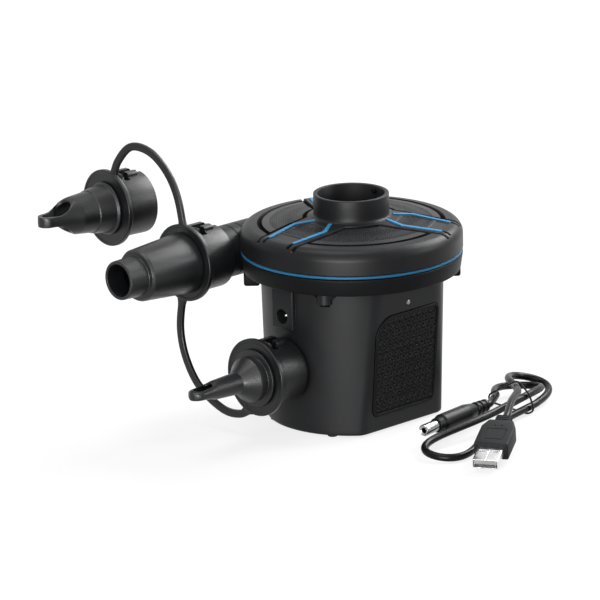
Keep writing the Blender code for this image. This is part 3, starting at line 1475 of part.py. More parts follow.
def tie_outline(route, reach):
    """The taut outline round all strands that pass the tie, in the tie's own plane."""
    along = Vector((math.cos(TIE_HEADING), math.sin(TIE_HEADING), 0.0))
    side = Vector((along.y, -along.x, 0.0))
    strands = []
    for place in route:
        off = place - TIE_AT
        past = max(0.0, abs(off.dot(along)) - TIE_WIDTH / 2)
        if past < CABLE_D / 2 and off.length < PLUG_BODY_LENGTH:
            strands.append((off.dot(side), off.z, math.sqrt((CABLE_D / 2) ** 2 - past**2)))
    outline = []
    for i in range(TIE_SIDES):
        angle = 2 * math.pi * i / TIE_SIDES
        c = math.cos(angle)
        s = math.sin(angle)
        x, z, r = max(strands, key=lambda strand: strand[0] * c + strand[1] * s + strand[2])
        outline.append((x + (r + reach) * c, z + (r + reach) * s))
    return outline


def least_self_gap(route):
    """The least clear distance between far stretches of the cable."""
    least = 1.0
    reach = 3 * CABLE_D
    for i, p in enumerate(route):
        travelled = 0.0
        for k in range(i + 1, len(route)):
            travelled += (route[k] - route[k - 1]).length
            if travelled > reach:
                least = min(least, (route[k] - p).length - CABLE_D)
    return least


def make_cable():
    """The cable as one unbroken tube, and the tie round the hank's waist."""
    fine_route = smooth_route(cable_route(), FINE_STEP)
    route = smooth_route(cable_route(), CABLE_STEP)
    curve = bpy.data.curves.new("charge_cable", "CURVE")
    curve.dimensions = "3D"
    curve.bevel_depth = CABLE_D / 2
    curve.bevel_resolution = 1
    curve.use_fill_caps = True
    spline = curve.splines.new("POLY")
    spline.points.add(len(route) - 1)
    for point, place in zip(spline.points, route):
        point.co = (*place, 1.0)
    curve.materials.append(CABLE)
    cable = bpy.data.objects.new("charge_cable", curve)
    PARTS.objects.link(cable)
    length = sum((q - p).length for p, q in zip(fine_route, fine_route[1:]))
    print("cable length %.4f m, least gap to itself %.5f m" % (length, least_self_gap(fine_route)))

    inner = tie_outline(fine_route, GAP)
    outer = tie_outline(fine_route, GAP + TIE_BAND)
    at = Matrix.Translation(TIE_AT) @ turn(TIE_HEADING - QUARTER_TURN, "Z") @ turn(QUARTER_TURN, "X")
    prism("cable_tie", [outer, inner], -TIE_WIDTH / 2, TIE_WIDTH / 2, CABLE, at)


duct_clearance = make_duct()
make_housing(duct_clearance)
make_base()
make_grips()
make_rim(duct_clearance)
make_cover(duct_clearance)
make_guard()
make_motor()
make_battery()
make_jack_and_lamp()
make_switch()
make_dock()
make_large_nozzle()
make_pinch_nozzle()
make_fine_nozzle()
make_tether()
make_round_plug()
make_flat_plug()
make_cable()
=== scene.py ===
"""The looks of the rechargeable air pump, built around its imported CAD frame."""
import math

import bmesh
import bpy
import numpy as np
from mathutils import Matrix, Vector


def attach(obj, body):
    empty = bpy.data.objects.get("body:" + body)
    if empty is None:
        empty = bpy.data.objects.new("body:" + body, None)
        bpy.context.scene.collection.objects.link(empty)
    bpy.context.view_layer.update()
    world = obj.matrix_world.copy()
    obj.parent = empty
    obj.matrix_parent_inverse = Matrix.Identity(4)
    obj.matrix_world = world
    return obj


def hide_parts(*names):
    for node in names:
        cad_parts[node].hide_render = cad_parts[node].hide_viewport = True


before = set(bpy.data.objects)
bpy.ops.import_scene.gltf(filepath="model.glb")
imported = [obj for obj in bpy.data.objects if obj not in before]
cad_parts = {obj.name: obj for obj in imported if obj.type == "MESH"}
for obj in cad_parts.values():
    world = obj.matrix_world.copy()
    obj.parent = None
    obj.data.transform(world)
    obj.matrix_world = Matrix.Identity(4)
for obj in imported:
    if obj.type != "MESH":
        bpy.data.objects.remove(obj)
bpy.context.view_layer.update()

# Picture and camera
IMAGE_SIDE = 600.0
CAMERA_AZIMUTH = math.radians(45.5)
CAMERA_ELEVATION = math.radians(16.3)
CAMERA_ROLL = math.radians(-0.85)
CAMERA_TARGET = Vector((0.0, 0.0, 0.055))
CAMERA_DISTANCE = 2.5
SENSOR = 36.0
CLIP_NEAR, CLIP_FAR = 0.1, 100.0
MM_PER_M = 1000.0
PIXELS_PER_MM = 2.138
COLLAR_PIXEL = (350.95, 192.14)

# Lid: the CAD model's sizes, with the fine relief and sheen that are added here, and painted shade (no gloss)
# in its grooves and slits
GAP = 0.0003
RIM_Z = 0.0710
LID_R = 0.0520
LID_WALL = 0.0022
RIM_H = 0.0081
RIM_FLOOR = 0.0020
RIM_DRAFT = 0.0012
RIM_ROUND = 0.0009
LUGS = ((45.5, 0.0039), (225.5, 0.0073))  # angle and drop
LUG_IN_R = 0.0431
LUG_OUT_R = 0.0506
LUG_HALF_W = 0.0060
LUG_ROUND = 0.0012
TRIM_H = 0.0012
TRIM_SUNK = 0.0002
TRIM_WIDTH = 0.0029
TRIM_ROUND = 0.0003
COVER_SHOULDER_Z = 0.0873
COVER_ROUND_R = 0.0056
COVER_RISE = 0.0035
COVER_SKIN = 0.0022
LID_CHAMFER = 0.0003
LID_ROWS = 96
LID_COLUMNS = 1080
COLLAR_R = 0.0177
COLLAR_BORE_R = 0.01565
COLLAR_TOP_Z = 0.1070
COLLAR_EDGE = 0.0005
COLLAR_SKIRT_Z = 0.0910
COLLAR_SKIRT_W = 0.0029
COLLAR_LIP = 0.0014
COLLAR_LIP_H = 0.0007
COLLAR_FOOT_R = 0.0012
COLLAR_ROWS = (0.006, 0.003)
COLLAR_PIN_R = 0.0012
COLLAR_PIN_Z = 0.1047
COLLAR_PIN_REACH = 0.0016
COLLAR_PIN_ROOT = 0.001
COLLAR_PIN_ROUND = 0.0003
SHAFT_HOLE_R = 0.0046
ARM_ANGLES = (-90.0, 30.0, 150.0)
ARM_HALF_INNER = 0.0122
ARM_HALF_OUTER = 0.0098
ARM_KINK_A = 0.0270
SECTOR_INNER_R = 0.0206
SECTOR_OUTER_R = 0.0440
SECTOR_DEPTH = 0.0002
SECTOR_GROOVE = 0.0015
SECTOR_GROOVE_W = 0.0021
SECTOR_SOFT = 0.00035
STRIP_IN_SIDE = 0.0050
STRIP_IN_A = 0.0185
STRIP_KINK_SIDE = 0.0100
STRIP_OUT_SIDE = 0.0079
STRIP_OUT_A = 0.0456
PANEL_INSET = 0.0019
PANEL_IN_A = 0.0226
PANEL_OUT_A = 0.0375
PANEL_END_A = 0.0450
PANEL_DEPTH = 0.00025
PANEL_GAP = 0.0009
PANEL_SOFT = 0.0005
PANEL_MARGIN = 0.0003
SLIT_HALF = 0.0008
SLIT_DEPTH = 0.0015
SLIT_SOFT = 0.0003
SLIT_JOIN_A = 0.0400
SLIT_FROM_A = 0.0458
SLIT_TO_A = 0.0496
DOT_FIELD_R = 0.0385
DOT_MARGIN = 0.0020
FIELD_SOFT = 0.0004
EDGE_GROW = 0.0001
SMOOTH_SOFT = 0.0006
LID_SHEEN = 0.14
SMOOTH_SHEEN = 0.22
DOTTED_SHEEN = 0.10
PANEL_SHEEN = 0.6

COVER_Z = RIM_Z + RIM_H + GAP + TRIM_H + GAP
TRIM_Z = RIM_Z + RIM_H + GAP
COVER_EDGE_R = LID_R - COVER_ROUND_R
COVER_EDGE_Z = COVER_SHOULDER_Z + COVER_ROUND_R
COVER_SLOPE = COVER_RISE / (COVER_EDGE_R - COLLAR_R)

# Housing
HOUSING_R_TOP = 0.0428
HOUSING_R_BOTTOM = 0.0410
HOUSING_WALL = 0.0022
HOUSING_ROWS = 24
HOUSING_ROUND = HOUSING_WALL * 0.6
BASE_Z = 0.0008
FLOOR_THICK = 0.0040
INNER_FLAT_Y = 0.0380
FACET_X_BOTTOM = 0.0320
FACET_X_TOP = 0.0378
FACET_WALL = 0.0034
FACET_BLEND = 0.0018
FACET_TILT = math.atan((FACET_X_TOP - FACET_X_BOTTOM) / RIM_Z)
HOUSING_TOP_Z = RIM_Z - GAP
COVER_PLATE_R = 0.0303
PLATE_TOP_Z = 0.0030
BASE_HOLE_R = 0.0250
BASE_HOLE_TOP = 0.012
BASE_HOLE_LOW = -0.004
BOSS_R = 0.0036
BOSS_RING_R = 0.0425
BOSS_H = 0.0056
BOSS_ANGLES = (-62.0, 62.0, 150.0)
BOSS_WEB = 0.0060
BOSS_WEB_START = 0.0010
BOSS_WEB_FLAT = 0.42
BOSS_SLIP = 0.00002
SCREW_SEAT_R = 0.0024
SCREW_SEAT_H = 0.0016
FOOT_SEAT_R = 0.0027
FOOT_SEAT_DEPTH = 0.0009
FOOT_RING_R = 0.0380
FOOT_ANGLES = (-120.0, -60.0, 60.0, 120.0)
PAD_WIDTH = 0.0410
PAD_BOTTOM_Z = 0.0085
PAD_TOP_Z = 0.0570
PAD_TOP_CORNER_R = 0.0100
PAD_REAR_CORNER_R = 0.0035
PAD_LOW_CORNER_R = 0.0040
PAD_SEAT_DEPTH = 0.0010
PAD_PROUD = 0.0005
PAD_FIELD_DEPTH = 0.0006
PAD_BORDER = 0.0014
PAD_STEP = 0.0003
PAD_ROUND = 0.0003
PAD_LAP = 0.0002
PAD_FIELD_THICK = 0.00045
MOTIF_PITCH = 0.0039
MOTIF_RISE = 0.00055
MOTIF_HALF = 0.00048
MOTIF_SOFT = 0.00025
MOTIF_MARGIN = 0.0006
MOTIF_REACH = 0.33
MOTIF_HOOK = 0.85
MOTIF_BEND = math.radians(75)
JACK_X = -0.0016
JACK_Z = 0.0560
JACK_FACE_Y = -0.0443
JACK_PANEL_W = 0.0136
JACK_PANEL_DROP = 0.0060
JACK_PANEL_EDGE = 0.0005
JACK_SLIP = 0.00003
JACK_HOLE_R = 0.0035
LAMP_Z = 0.0612
LAMP_HOLE_R = 0.0015
LAMP_LENGTH = 0.0050
SWITCH_Z = 0.0500
SWITCH_FACE_Y = 0.0404
SWITCH_RECESS_W = 0.0190
SWITCH_RECESS_H = 0.0260
SWITCH_CORNER_R = 0.0010
SWITCH_BODY_W = 0.0132
SWITCH_BODY_H = 0.0192

# Outlet duct and docking post
OUTLET_X = -0.0480
OUTLET_Z = 0.0768
SPIGOT_R = 0.0123
SPIGOT_WALL = 0.0015
SPIGOT_END_Y = -0.0571
DUCT_TAIL_Y = 0.0060
DUCT_TAIL_WALL = 0.0030
DUCT_BORE_END = 0.07
DUCT_TAIL_ROUND = 0.0030
DUCT_MOUTH_ROUND = 0.0006
DUCT_BOX_LOW = Vector((-0.0500, -0.0100, 0.0663))
DUCT_BOX_HIGH = Vector((-0.0385, 0.0045, 0.0873))
DUCT_PORT_WALL = 0.0020
DUCT_LINE_Y = (-0.0290, -0.0345)
DUCT_LINE = 0.0003
DOCK_X = -0.0010
DOCK_Z = 0.0308
DOCK_SEAT_Y = -0.0397
PIN_R = 0.0012
PIN_REACH = 0.0020
PIN_Y = -0.0550

# Nozzles and tether
FLANGE_Y = -0.0630
RING_R = 0.0183
RING_THICK = 0.0024
RING_ROUND = 0.0005
RING_FACE = 0.0001
RING_DISH = 0.0003
RING_DISH_W = 0.0016
RING_EDGE = 0.0013
NECK_R = 0.0113
NECK_BORE_R = 0.0094
SOCKET_R = 0.0150
SOCKET_LENGTH = 0.0167
SOCKET_START_S = -0.0027
SOCKET_END_S = SOCKET_START_S - SOCKET_LENGTH
SOCKET_FLOOR_S = -0.0050
SOCKET_BORE_R = 0.0126
SLOT_W = 0.0034
SLOT_BACK = 0.0080
SLOT_REACH = 0.0068
PAD_RISE = 0.0012
SLOT_PAD_HALF = 0.0050
SLOT_PAD_FRONT = 0.0050
SLOT_PAD_REAR = 0.0160
SLOT_PAD_ROUND = 0.95
SLOT_DEEP = 0.75
NOZZLE_ROUND = 0.0004
LOOP_CUT = 0.03
LOOP_ROOT = 0.8
TIP_CROWD = 1.7
TIP_LEAST = 0.0003
TIP_THIN, TIP_GAIN = 0.80, 0.20
LARGE_BASE_R = 0.0144
LARGE_SHOULDER_R = 0.0123
LARGE_SHOULDER_S = 0.0284
LARGE_STEP_S = 0.0300
LARGE_MOUTH_R = 0.0092
LARGE_MOUTH_S = 0.0406
LARGE_BORE_R = 0.0077
LARGE_ROUND = 0.0005
LARGE_DRAFT = 0.0004
LARGE_STEP_IN = 0.0008
LARGE_STEP_FALL = 0.0003
LARGE_BORE_STOP = 0.0004
PINCH_X = -0.1005
PINCH_Z = 0.0936
PINCH_YAW = math.radians(-5.5)
PINCH_BASE_R = 0.0126
PINCH_CONE_R = 0.0116
PINCH_STEP_R = 0.0103
PINCH_STEP_S = 0.0105
PINCH_MID_R = 0.0099
PINCH_END_R = 0.0091
PINCH_SCOOP_S = 0.0188
PINCH_SCOOP_FALL = 0.0120
PINCH_LOOP_HALF = 0.0024
PINCH_WALL = 0.0016
PINCH_TIP_R = 0.0046
PINCH_LOOP_S = 0.0340
PINCH_BAND = 0.0019
PINCH_BORE_TIP_R = 0.0062
PINCH_SLOT_START = 0.0075
PINCH_SLOT_HALF = 0.0054
PINCH_ROWS = 60
PINCH_SIDES = 72
PINCH_CROWD = 1.6
PINCH_LEAST = 0.0002
PINCH_MOUTH_IN = 0.0014
PINCH_STEP_RISE = 0.0002
PINCH_STEP_FALL = 0.0003
PINCH_BORE_STOP = 0.0004
PINCH_BORE_IN = 0.0010
FINE_BASE_R = 0.0135
FINE_BASE_S = 0.0014
FINE_DRUM_R = 0.0106
FINE_DRUM_S = 0.0057
FINE_TUBE_R = 0.0052
FINE_TUBE_S = 0.0118
FINE_END_R = 0.0043
FINE_ROOT_S = 0.0262
FINE_END_S = 0.0302
FINE_WALL = 0.0012
FINE_TIP_R = 0.0048
FINE_LOOP_S = 0.0354
FINE_BAND = 0.0020
FINE_LOOP_H = 0.0046
FINE_FLATTEN = 0.8
FINE_SQUARE = 1.2
FINE_TUBE_LIP = 0.0002
FINE_CONE_DIP = 0.0004
FINE_DRUM_EDGE = 0.0004
FINE_DRUM_FALL = 0.0006
FINE_LAP = 0.0004
FINE_BORE_LAP = 0.002
STRAP_WIDTH = 0.0038
STRAP_THICK = 0.0022
STRAP_ROUND = 0.0007
STRAP_STEP = 0.0012
STRAP_FLARE = 1.9
STRAP_FLARE_LENGTH = 0.0060
UPPER_STRAP = (
    (-0.0965, 0.1080), (-0.0925, 0.1175), (-0.0830, 0.1262), (-0.0700, 0.1258),
    (-0.0590, 0.1185), (-0.0520, 0.1075), (-0.0480, 0.0915),
)
LOWER_STRAP = (
    (-0.0500, 0.0605), (-0.0520, 0.0440), (-0.0485, 0.0300), (-0.0395, 0.0180),
    (-0.0240, 0.0105), (-0.0120, 0.0108), (-0.0060, 0.0150),
)

# Charge cable and its plugs, the same route as in the CAD model
CABLE_D = 0.0036
PLUG_TIP = Vector((0.0640, -0.0186, 0.0088))
PLUG_REAR = Vector((0.0556, 0.0314, 0.0078))
PLUG_BODY_R = 0.0043
PLUG_BODY_LENGTH = 0.0300
PLUG_BARREL_R = 0.00275
PLUG_BARREL_LENGTH = 0.0100
PLUG_BORE_R = 0.0013
PLUG_SEAT = 0.0030
PLUG_RELIEF_R = 0.0034
PLUG_WAIST_R = 0.0026
PLUG_RINGS = 3
PLUG_RING_TAPER = 0.0002
PLUG_RING_MARKS = (0.15, 0.45, 0.55, 0.95)
PLUG_NOSE = ((0.78, 0.0), (0.86, 0.7), (1.0, 1.1))  # radius and distance, as shares of the body's radius
PLUG_REAR_TAPER = 1.4
PLUG_ROUND = 0.0004
BARREL_LIP = 0.0004
BARREL_ROUND = 0.00015
BARREL_CHAMFER = 0.0006
BARREL_BORE_EDGE = 0.0005
BARREL_FACE = 0.0003
TIE_AT = Vector((0.0570, 0.0476, 0.0))
TIE_HEADING = math.radians(125.0)
TIE_BAND = 0.0009
TIE_WIDTH = 0.0014
TIE_SIDES = 96
TIE_SECTION = 12
TIE_FILL = 0.48
FINE_STEP = 0.0010
LOOP_POINTS = 24
BACK_UPPER = {"heading": 126.0, "length": 0.0302, "half": 0.0055, "skew": 0.0025, "lift": -0.0033,
              "power": 0.0, "sides": (-0.0067, 0.0060), "heights": (0.0077, 0.0087)}
FRONT = {"heading": -75.0, "length": 0.0796, "half": -0.0097, "skew": 0.0018, "lift": -0.0032, "power": 1.9,
         "sides": (-0.0052, -0.0061), "heights": (0.0087, 0.0032)}
BACK_LOWER = {"heading": 130.5, "length": 0.0343, "half": -0.0074, "skew": 0.0027, "lift": -0.0010,
              "power": 0.0, "sides": (0.0081, 0.0030), "heights": (0.0032, 0.0129)}
RUN_OUT = ((0.0663, 0.0420, 0.0146), (0.0722, 0.0336, 0.0151), (0.0780, 0.0250, 0.0152))
USB_TIP = Vector((0.1100, -0.0254, 0.0044))
USB_HEADING = math.radians(-59.0)
USB_PITCH = math.radians(11.5)
USB_SHELL_W = 0.0120
USB_SHELL_H = 0.0045
USB_SHELL_LENGTH = 0.0120
USB_SHELL_WALL = 0.0004
USB_SHELL_SEAT = 0.0040
USB_SHELL_ROUND = 0.0007
USB_SHELL_HOLLOW = 0.0004
USB_BODY_W = 0.0160
USB_BODY_H = 0.0082
USB_BODY_LENGTH = 0.0230
USB_RELIEF_W = 0.0076
USB_RELIEF_H = 0.0060
USB_RELIEF_LENGTH = 0.0070
USB_LAP = 0.002
USB_LEAD_OUT = 1.5
USB_RELIEF_ROUND = 0.0012
USB_ROUND = 0.0009
USB_TAPER = 0.0060
USB_NARROW = 0.36
USB_PANEL_OUTER = (0.0045, 0.0145, 0.0046, 0.0005)  # from, to, half width, corner
USB_PANEL_INNER = (0.0050, 0.0140, 0.0041, 0.0004)
USB_LINE_DEPTH = 0.00035
USB_DOT_R = 0.0004
USB_DOT_X = 0.0172
USB_DOT_Y = 0.0015
USB_RIBS = 3
USB_RIB_START = 0.0016
USB_RIB_PITCH = 0.0018
USB_RIB_W = 0.0007
USB_RIB_DEPTH = 0.0004
USB_WINDOW_FROM = 0.0070
USB_WINDOW_TO = 0.0090
USB_WINDOW_Y = 0.0030
USB_WINDOW_HALF = 0.0012
USB_SEAM = 0.00008
USB_SEAM_DEPTH = 0.00025

# Turns, numbers of sides and tolerances
QUARTER_TURN = math.pi / 2
HALF_TURN = math.pi
BODY_SIDES = 288
BIG_SIDES = 192
ROUND_SIDES = 96
SMALL_SIDES = 48
CURVE_STEPS = 12
TINY = 1e-7
FIT = 0.0001
OVERCUT = 0.001
NEARLY_STRAIGHT = math.radians(86)
ROUND_SHARE = 0.48
WELD_DISTANCE = 0.000005
SMOOTH_BELOW = math.radians(30.0)


def move(x=0.0, y=0.0, z=0.0):
    """A translation."""
    return Matrix.Translation((x, y, z))


def turn(angle, axis):
    """A rotation about a world axis."""
    return Matrix.Rotation(angle, 4, axis)


# FACE_FRONT turns Z to the front with Y up; STAND_YZ stands a flat outline up, facing +X
FACE_FRONT = turn(QUARTER_TURN, "X")
STAND_YZ = Matrix(((0, 0, 1, 0), (1, 0, 0, 0), (0, 1, 0, 0), (0, 0, 0, 1)))


def facing(x, z):
    """A frame on the pump's middle plane whose Z points to the front."""
    return move(x, 0.0, z) @ FACE_FRONT


def clamp(value):
    """A value held between 0 and 1."""
    return min(max(value, 0.0), 1.0)


def placed(name, data):
    """A new object of some data, put into the scene."""
    obj = bpy.data.objects.new(name, data)
    bpy.context.scene.collection.objects.link(obj)
    return obj


# Camera

def make_camera():
    """The camera at the photograph's angle, shifted so that the collar's top lands on its pixel."""
    data = bpy.data.cameras.new("camera")
    camera = placed("camera", data)
    bpy.context.scene.camera = camera
    flat = math.cos(CAMERA_ELEVATION)
    back = Vector((math.sin(CAMERA_AZIMUTH) * flat, -math.cos(CAMERA_AZIMUTH) * flat,
                   math.sin(CAMERA_ELEVATION)))
    look = (-back).to_track_quat("-Z", "Y").to_matrix().to_4x4()
    camera.matrix_world = (Matrix.Translation(CAMERA_TARGET + back * CAMERA_DISTANCE) @ look
                           @ turn(CAMERA_ROLL, "Z"))
    data.sensor_width = SENSOR
    data.lens = PIXELS_PER_MM * CAMERA_DISTANCE * MM_PER_M / IMAGE_SIDE * SENSOR
    data.clip_start = CLIP_NEAR
    data.clip_end = CLIP_FAR
    seen = camera.matrix_world.inverted() @ Vector((0.0, 0.0, COLLAR_TOP_Z))
    scale = data.lens / SENSOR
    across = IMAGE_SIDE * (0.5 - seen.x / seen.z * scale)
    down = IMAGE_SIDE * (0.5 + seen.y / seen.z * scale)
    data.shift_x = (across - COLLAR_PIXEL[0]) / IMAGE_SIDE
    data.shift_y = -(down - COLLAR_PIXEL[1]) / IMAGE_SIDE


make_camera()


# Materials

TONE_SCALE = 55.0
TONE_LOW, TONE_HIGH = 0.86, 1.14
COAT_ROUGHNESS = 0.12
EDGE_SAMPLES = 4
FLAKE_SIZE = 1.6
DOT_HEIGHT = 0.60
SMEAR_SCALE = 220.0
SMEAR_TONE = 0.88
METAL_EDGE = 0.00015
DRAWN_SCALE = 4000.0
DRAWN_HEIGHT = 0.0001


def shader_of(name):
    """A new material, its node tree and its Principled shader."""
    mat = bpy.data.materials.new(name)
    mat.use_nodes = True
    tree = mat.node_tree
    shader = tree.nodes["Principled BSDF"]
    return mat, tree, shader


def node(tree, kind, links=(), **values):
    """A node with its plain properties set and its inputs linked or given."""
    made = tree.nodes.new(kind)
    for key, value in values.items():
        setattr(made, key, value)
    for socket, source in links:
        if isinstance(source, bpy.types.NodeSocket):
            tree.links.new(source, made.inputs[socket])
        else:
            made.inputs[socket].default_value = source
    return made


def ramp(tree, source, low, high, start=0.0, end=1.0):
    """A number or colour that goes from low to high as the source goes from start to end."""
    made = tree.nodes.new("ShaderNodeValToRGB")
    made.color_ramp.elements[0].position = start
    made.color_ramp.elements[1].position = end
    for element, value in zip(made.color_ramp.elements, (low, high)):
        element.color = (*value, 1.0) if isinstance(value, tuple) else (value, value, value, 1.0)
    tree.links.new(source, made.inputs["Fac"])
    return made.outputs["Color"]


def bump(tree, strength, distance, height, normal):
    """A bump laid over another normal."""
    return node(tree, "ShaderNodeBump", (("Strength", strength), ("Distance", distance), ("Height", height),
                                         ("Normal", normal))).outputs["Normal"]


def moulded(name, colour, roughness, grain=0.00035, strength=0.10, spread=0.05, specular=0.35, edge=0.0003,
            sparkle=0.0, coat=0.0, dots=None):
    """A moulded plastic: fine grain, slow changes of gloss and tone, soft edges, maybe dotted fields."""
    mat, tree, shader = shader_of(name)
    place = node(tree, "ShaderNodeTexCoord").outputs["Object"]
    slow = node(tree, "ShaderNodeTexNoise", (("Vector", place), ("Scale", TONE_SCALE), ("Detail", 4.0)))
    fine = node(tree, "ShaderNodeTexNoise", (("Vector", place), ("Scale", 1.0 / grain), ("Detail", 2.0)))
    dark = tuple(c * TONE_LOW for c in colour)
    light = tuple(c * TONE_HIGH for c in colour)
    tree.links.new(ramp(tree, slow.outputs["Fac"], dark, light, 0.3, 0.7), shader.inputs["Base Color"])
    shader.inputs["Specular IOR Level"].default_value = specular
    if dots:
        # Per-point gloss from the mesh; on the lid it is zero in the grooves and slits as painted shade
        sheen = node(tree, "ShaderNodeAttribute", attribute_name="sheen").outputs["Fac"]
        tree.links.new(sheen, shader.inputs["Specular IOR Level"])
    low, high = roughness - spread, roughness + spread
    tree.links.new(ramp(tree, slow.outputs["Fac"], low, high, 0.25, 0.75), shader.inputs["Roughness"])
    if coat:
        shader.inputs["Coat Weight"].default_value = coat
        shader.inputs["Coat Roughness"].default_value = COAT_ROUGHNESS
    soft = node(tree, "ShaderNodeBevel", (("Radius", edge),), samples=EDGE_SAMPLES).outputs["Normal"]
    normal = bump(tree, strength, grain * 0.5, fine.outputs["Fac"], soft)
    if sparkle:
        flakes = node(tree, "ShaderNodeTexVoronoi", (("Vector", place), ("Scale", 1.0 / (grain * FLAKE_SIZE))))
        height = ramp(tree, flakes.outputs["Distance"], 1.0, 0.0, 0.0, 0.5)
        normal = bump(tree, sparkle, grain * 0.5, height, normal)
    if dots:
        field = node(tree, "ShaderNodeAttribute", attribute_name="dots").outputs["Fac"]
        cells = node(tree, "ShaderNodeTexVoronoi",
                     (("Vector", place), ("Scale", 1.0 / dots), ("Randomness", 0.0)))
        bumps = ramp(tree, cells.outputs["Distance"], 1.0, 0.0, 0.15, 0.5)
        normal = bump(tree, field, dots * DOT_HEIGHT, bumps, normal)
    tree.links.new(normal, shader.inputs["Normal"])
    return mat


def metal(name, colour, roughness, brushed=0.0):
    """A plated metal with fine drawn lines and faint smears."""
    mat, tree, shader = shader_of(name)
    place = node(tree, "ShaderNodeTexCoord").outputs["Object"]
    smear = node(tree, "ShaderNodeTexNoise", (("Vector", place), ("Scale", SMEAR_SCALE), ("Detail", 3.0)))
    shader.inputs["Metallic"].default_value = 1.0
    dark = tuple(c * SMEAR_TONE for c in colour)
    tree.links.new(ramp(tree, smear.outputs["Fac"], dark, colour, 0.3, 0.6), shader.inputs["Base Color"])
    tree.links.new(ramp(tree, smear.outputs["Fac"], roughness - 0.06, roughness + 0.08, 0.3, 0.7),
                   shader.inputs["Roughness"])
    soft = node(tree, "ShaderNodeBevel", (("Radius", METAL_EDGE),), samples=EDGE_SAMPLES).outputs["Normal"]
    fine = node(tree, "ShaderNodeTexNoise", (("Vector", place), ("Scale", DRAWN_SCALE), ("Detail", 2.0)))
    normal = bump(tree, 0.05 + brushed, DRAWN_HEIGHT, fine.outputs["Fac"], soft)
    tree.links.new(normal, shader.inputs["Normal"])
    return mat


BODY = moulded("satin_black_plastic", (0.0112, 0.0116, 0.0131), 0.43, specular=0.17)
# The rim's plastic is the body's black plastic, darker and less glossy as painted shade under the lid
SHADED_RIM = moulded("rim_plastic_painted_shade", (0.0090, 0.0093, 0.0104), 0.43, specular=0.06)
LID = moulded("satin_lid_plastic", (0.0100, 0.0103, 0.0115), 0.40, specular=0.14, dots=0.0012)
NOZZLE = moulded("grained_nozzle_plastic", (0.0090, 0.0094, 0.0105), 0.36, sparkle=0.28, specular=0.34)
GRIP = moulded("grip_black_plastic", (0.0048, 0.0050, 0.0056), 0.42, specular=0.09)
BLUE = moulded("blue_trim_plastic", (0.034, 0.205, 0.400), 0.45, strength=0.05, specular=0.15)
RUBBER = moulded("black_rubber", (0.018, 0.018, 0.019), 0.75, grain=0.0005, strength=0.2, specular=0.20)
TETHER = moulded("tether_plastic", (0.0090, 0.0094, 0.0105), 0.34, strength=0.07, specular=0.28)
CABLE = moulded("cable_black_pvc", (0.0060, 0.0061, 0.0068), 0.27, grain=0.0006, strength=0.05, specular=0.10)
PLUG = moulded("plug_black_pvc", (0.0070, 0.0072, 0.0080), 0.33, grain=0.0004, strength=0.12, specular=0.10)
FLAT = moulded("flat_plug_pvc", (0.0150, 0.0153, 0.0166), 0.62, grain=0.0004, strength=0.10, specular=0.12)
WHITE = moulded("white_insulator", (0.72, 0.72, 0.70), 0.45, strength=0.05)
LENS = moulded("lamp_lens", (0.50, 0.51, 0.52), 0.22, strength=0.02, coat=0.4)
CELL = moulded("battery_wrap", (0.080, 0.270, 0.190), 0.45, strength=0.05)
BOARD = moulded("board_green", (0.020, 0.160, 0.070), 0.45, strength=0.05)
STEEL = metal("bright_steel", (0.78, 0.78, 0.79), 0.20)
BARREL = metal("plated_barrel", (0.34, 0.34, 0.35), 0.16)
ZINC = metal("motor_zinc", (0.56, 0.57, 0.58), 0.38, 0.05)
SLOT_MATERIAL = {
    "black_plastic": BODY, "grip_plastic": GRIP, "blue_plastic": BLUE, "black_rubber": RUBBER,
    "tether_plastic": TETHER, "cable_pvc": CABLE, "bright_steel": STEEL, "motor_steel": ZINC,
    "white_plastic": WHITE, "battery_cell": CELL, "circuit_board": BOARD, "lamp_lens": LENS,
}
NODE_SLOTS = (
    ("inlay_strip", "blue_plastic"), ("trim", "blue_plastic"), ("foot", "black_rubber"),
    ("screw", "bright_steel"), ("jack_pin", "bright_steel"), ("motor_shaft", "bright_steel"),
    ("motor_can", "motor_steel"), ("impeller", "white_plastic"), ("motor_end_cap", "white_plastic"),
    ("tongue", "white_plastic"), ("battery_cell", "battery_cell"), ("control_board", "circuit_board"),
    ("status_lamp", "lamp_lens"),
)


# Mesh tools

def settled(obj):
    """The mesh that an object's modifiers make; the object goes."""
    bpy.context.view_layer.update()
    graph = bpy.context.evaluated_depsgraph_get()
    mesh = bpy.data.meshes.new_from_object(obj.evaluated_get(graph))
    bpy.data.objects.remove(obj, do_unlink=True)
    return mesh


def carve(mesh, *steps):
    """Cut or join a mesh with others, one after another."""
    obj = placed("temporary", mesh)
    tools = []
    for operation, tool in steps:
        helper = placed("temporary", tool)
        tools.append(helper)
        mod = obj.modifiers.new("carve", "BOOLEAN")
        mod.operation = operation
        mod.solver = "EXACT"
        mod.object = helper
    made = settled(obj)
    for helper in tools:
        bpy.data.objects.remove(helper, do_unlink=True)
    return made


def bevelled(mesh, width, segments=3, angle=40.0):
    """A mesh with its sharp edges rounded."""
    obj = placed("temporary", mesh)
    mod = obj.modifiers.new("round", "BEVEL")
    mod.width = width
    mod.segments = segments
    mod.limit_method = "ANGLE"
    mod.angle_limit = math.radians(angle)
    return settled(obj)


def from_faces(verts, faces, at=None):
    """A closed mesh from points and faces, facing outwards."""
    mesh = bpy.data.meshes.new("made")
    mesh.from_pydata([tuple(v) for v in verts], [], faces)
    shape = bmesh.new()
    shape.from_mesh(mesh)
    bmesh.ops.recalc_face_normals(shape, faces=shape.faces)
    shape.to_mesh(mesh)
    shape.free()
    if at is not None:
        mesh.transform(at)
    return mesh


def joined(*meshes):
    """Several meshes as one."""
    shape = bmesh.new()
    for mesh in meshes:
        shape.from_mesh(mesh)
    made = bpy.data.meshes.new("joined")
    shape.to_mesh(made)
    shape.free()
    return made


def cut(mesh):
    """A carving step that takes a mesh away."""
    return "DIFFERENCE", mesh


def add(mesh):
    """A carving step that joins a mesh on."""
    return "UNION", mesh


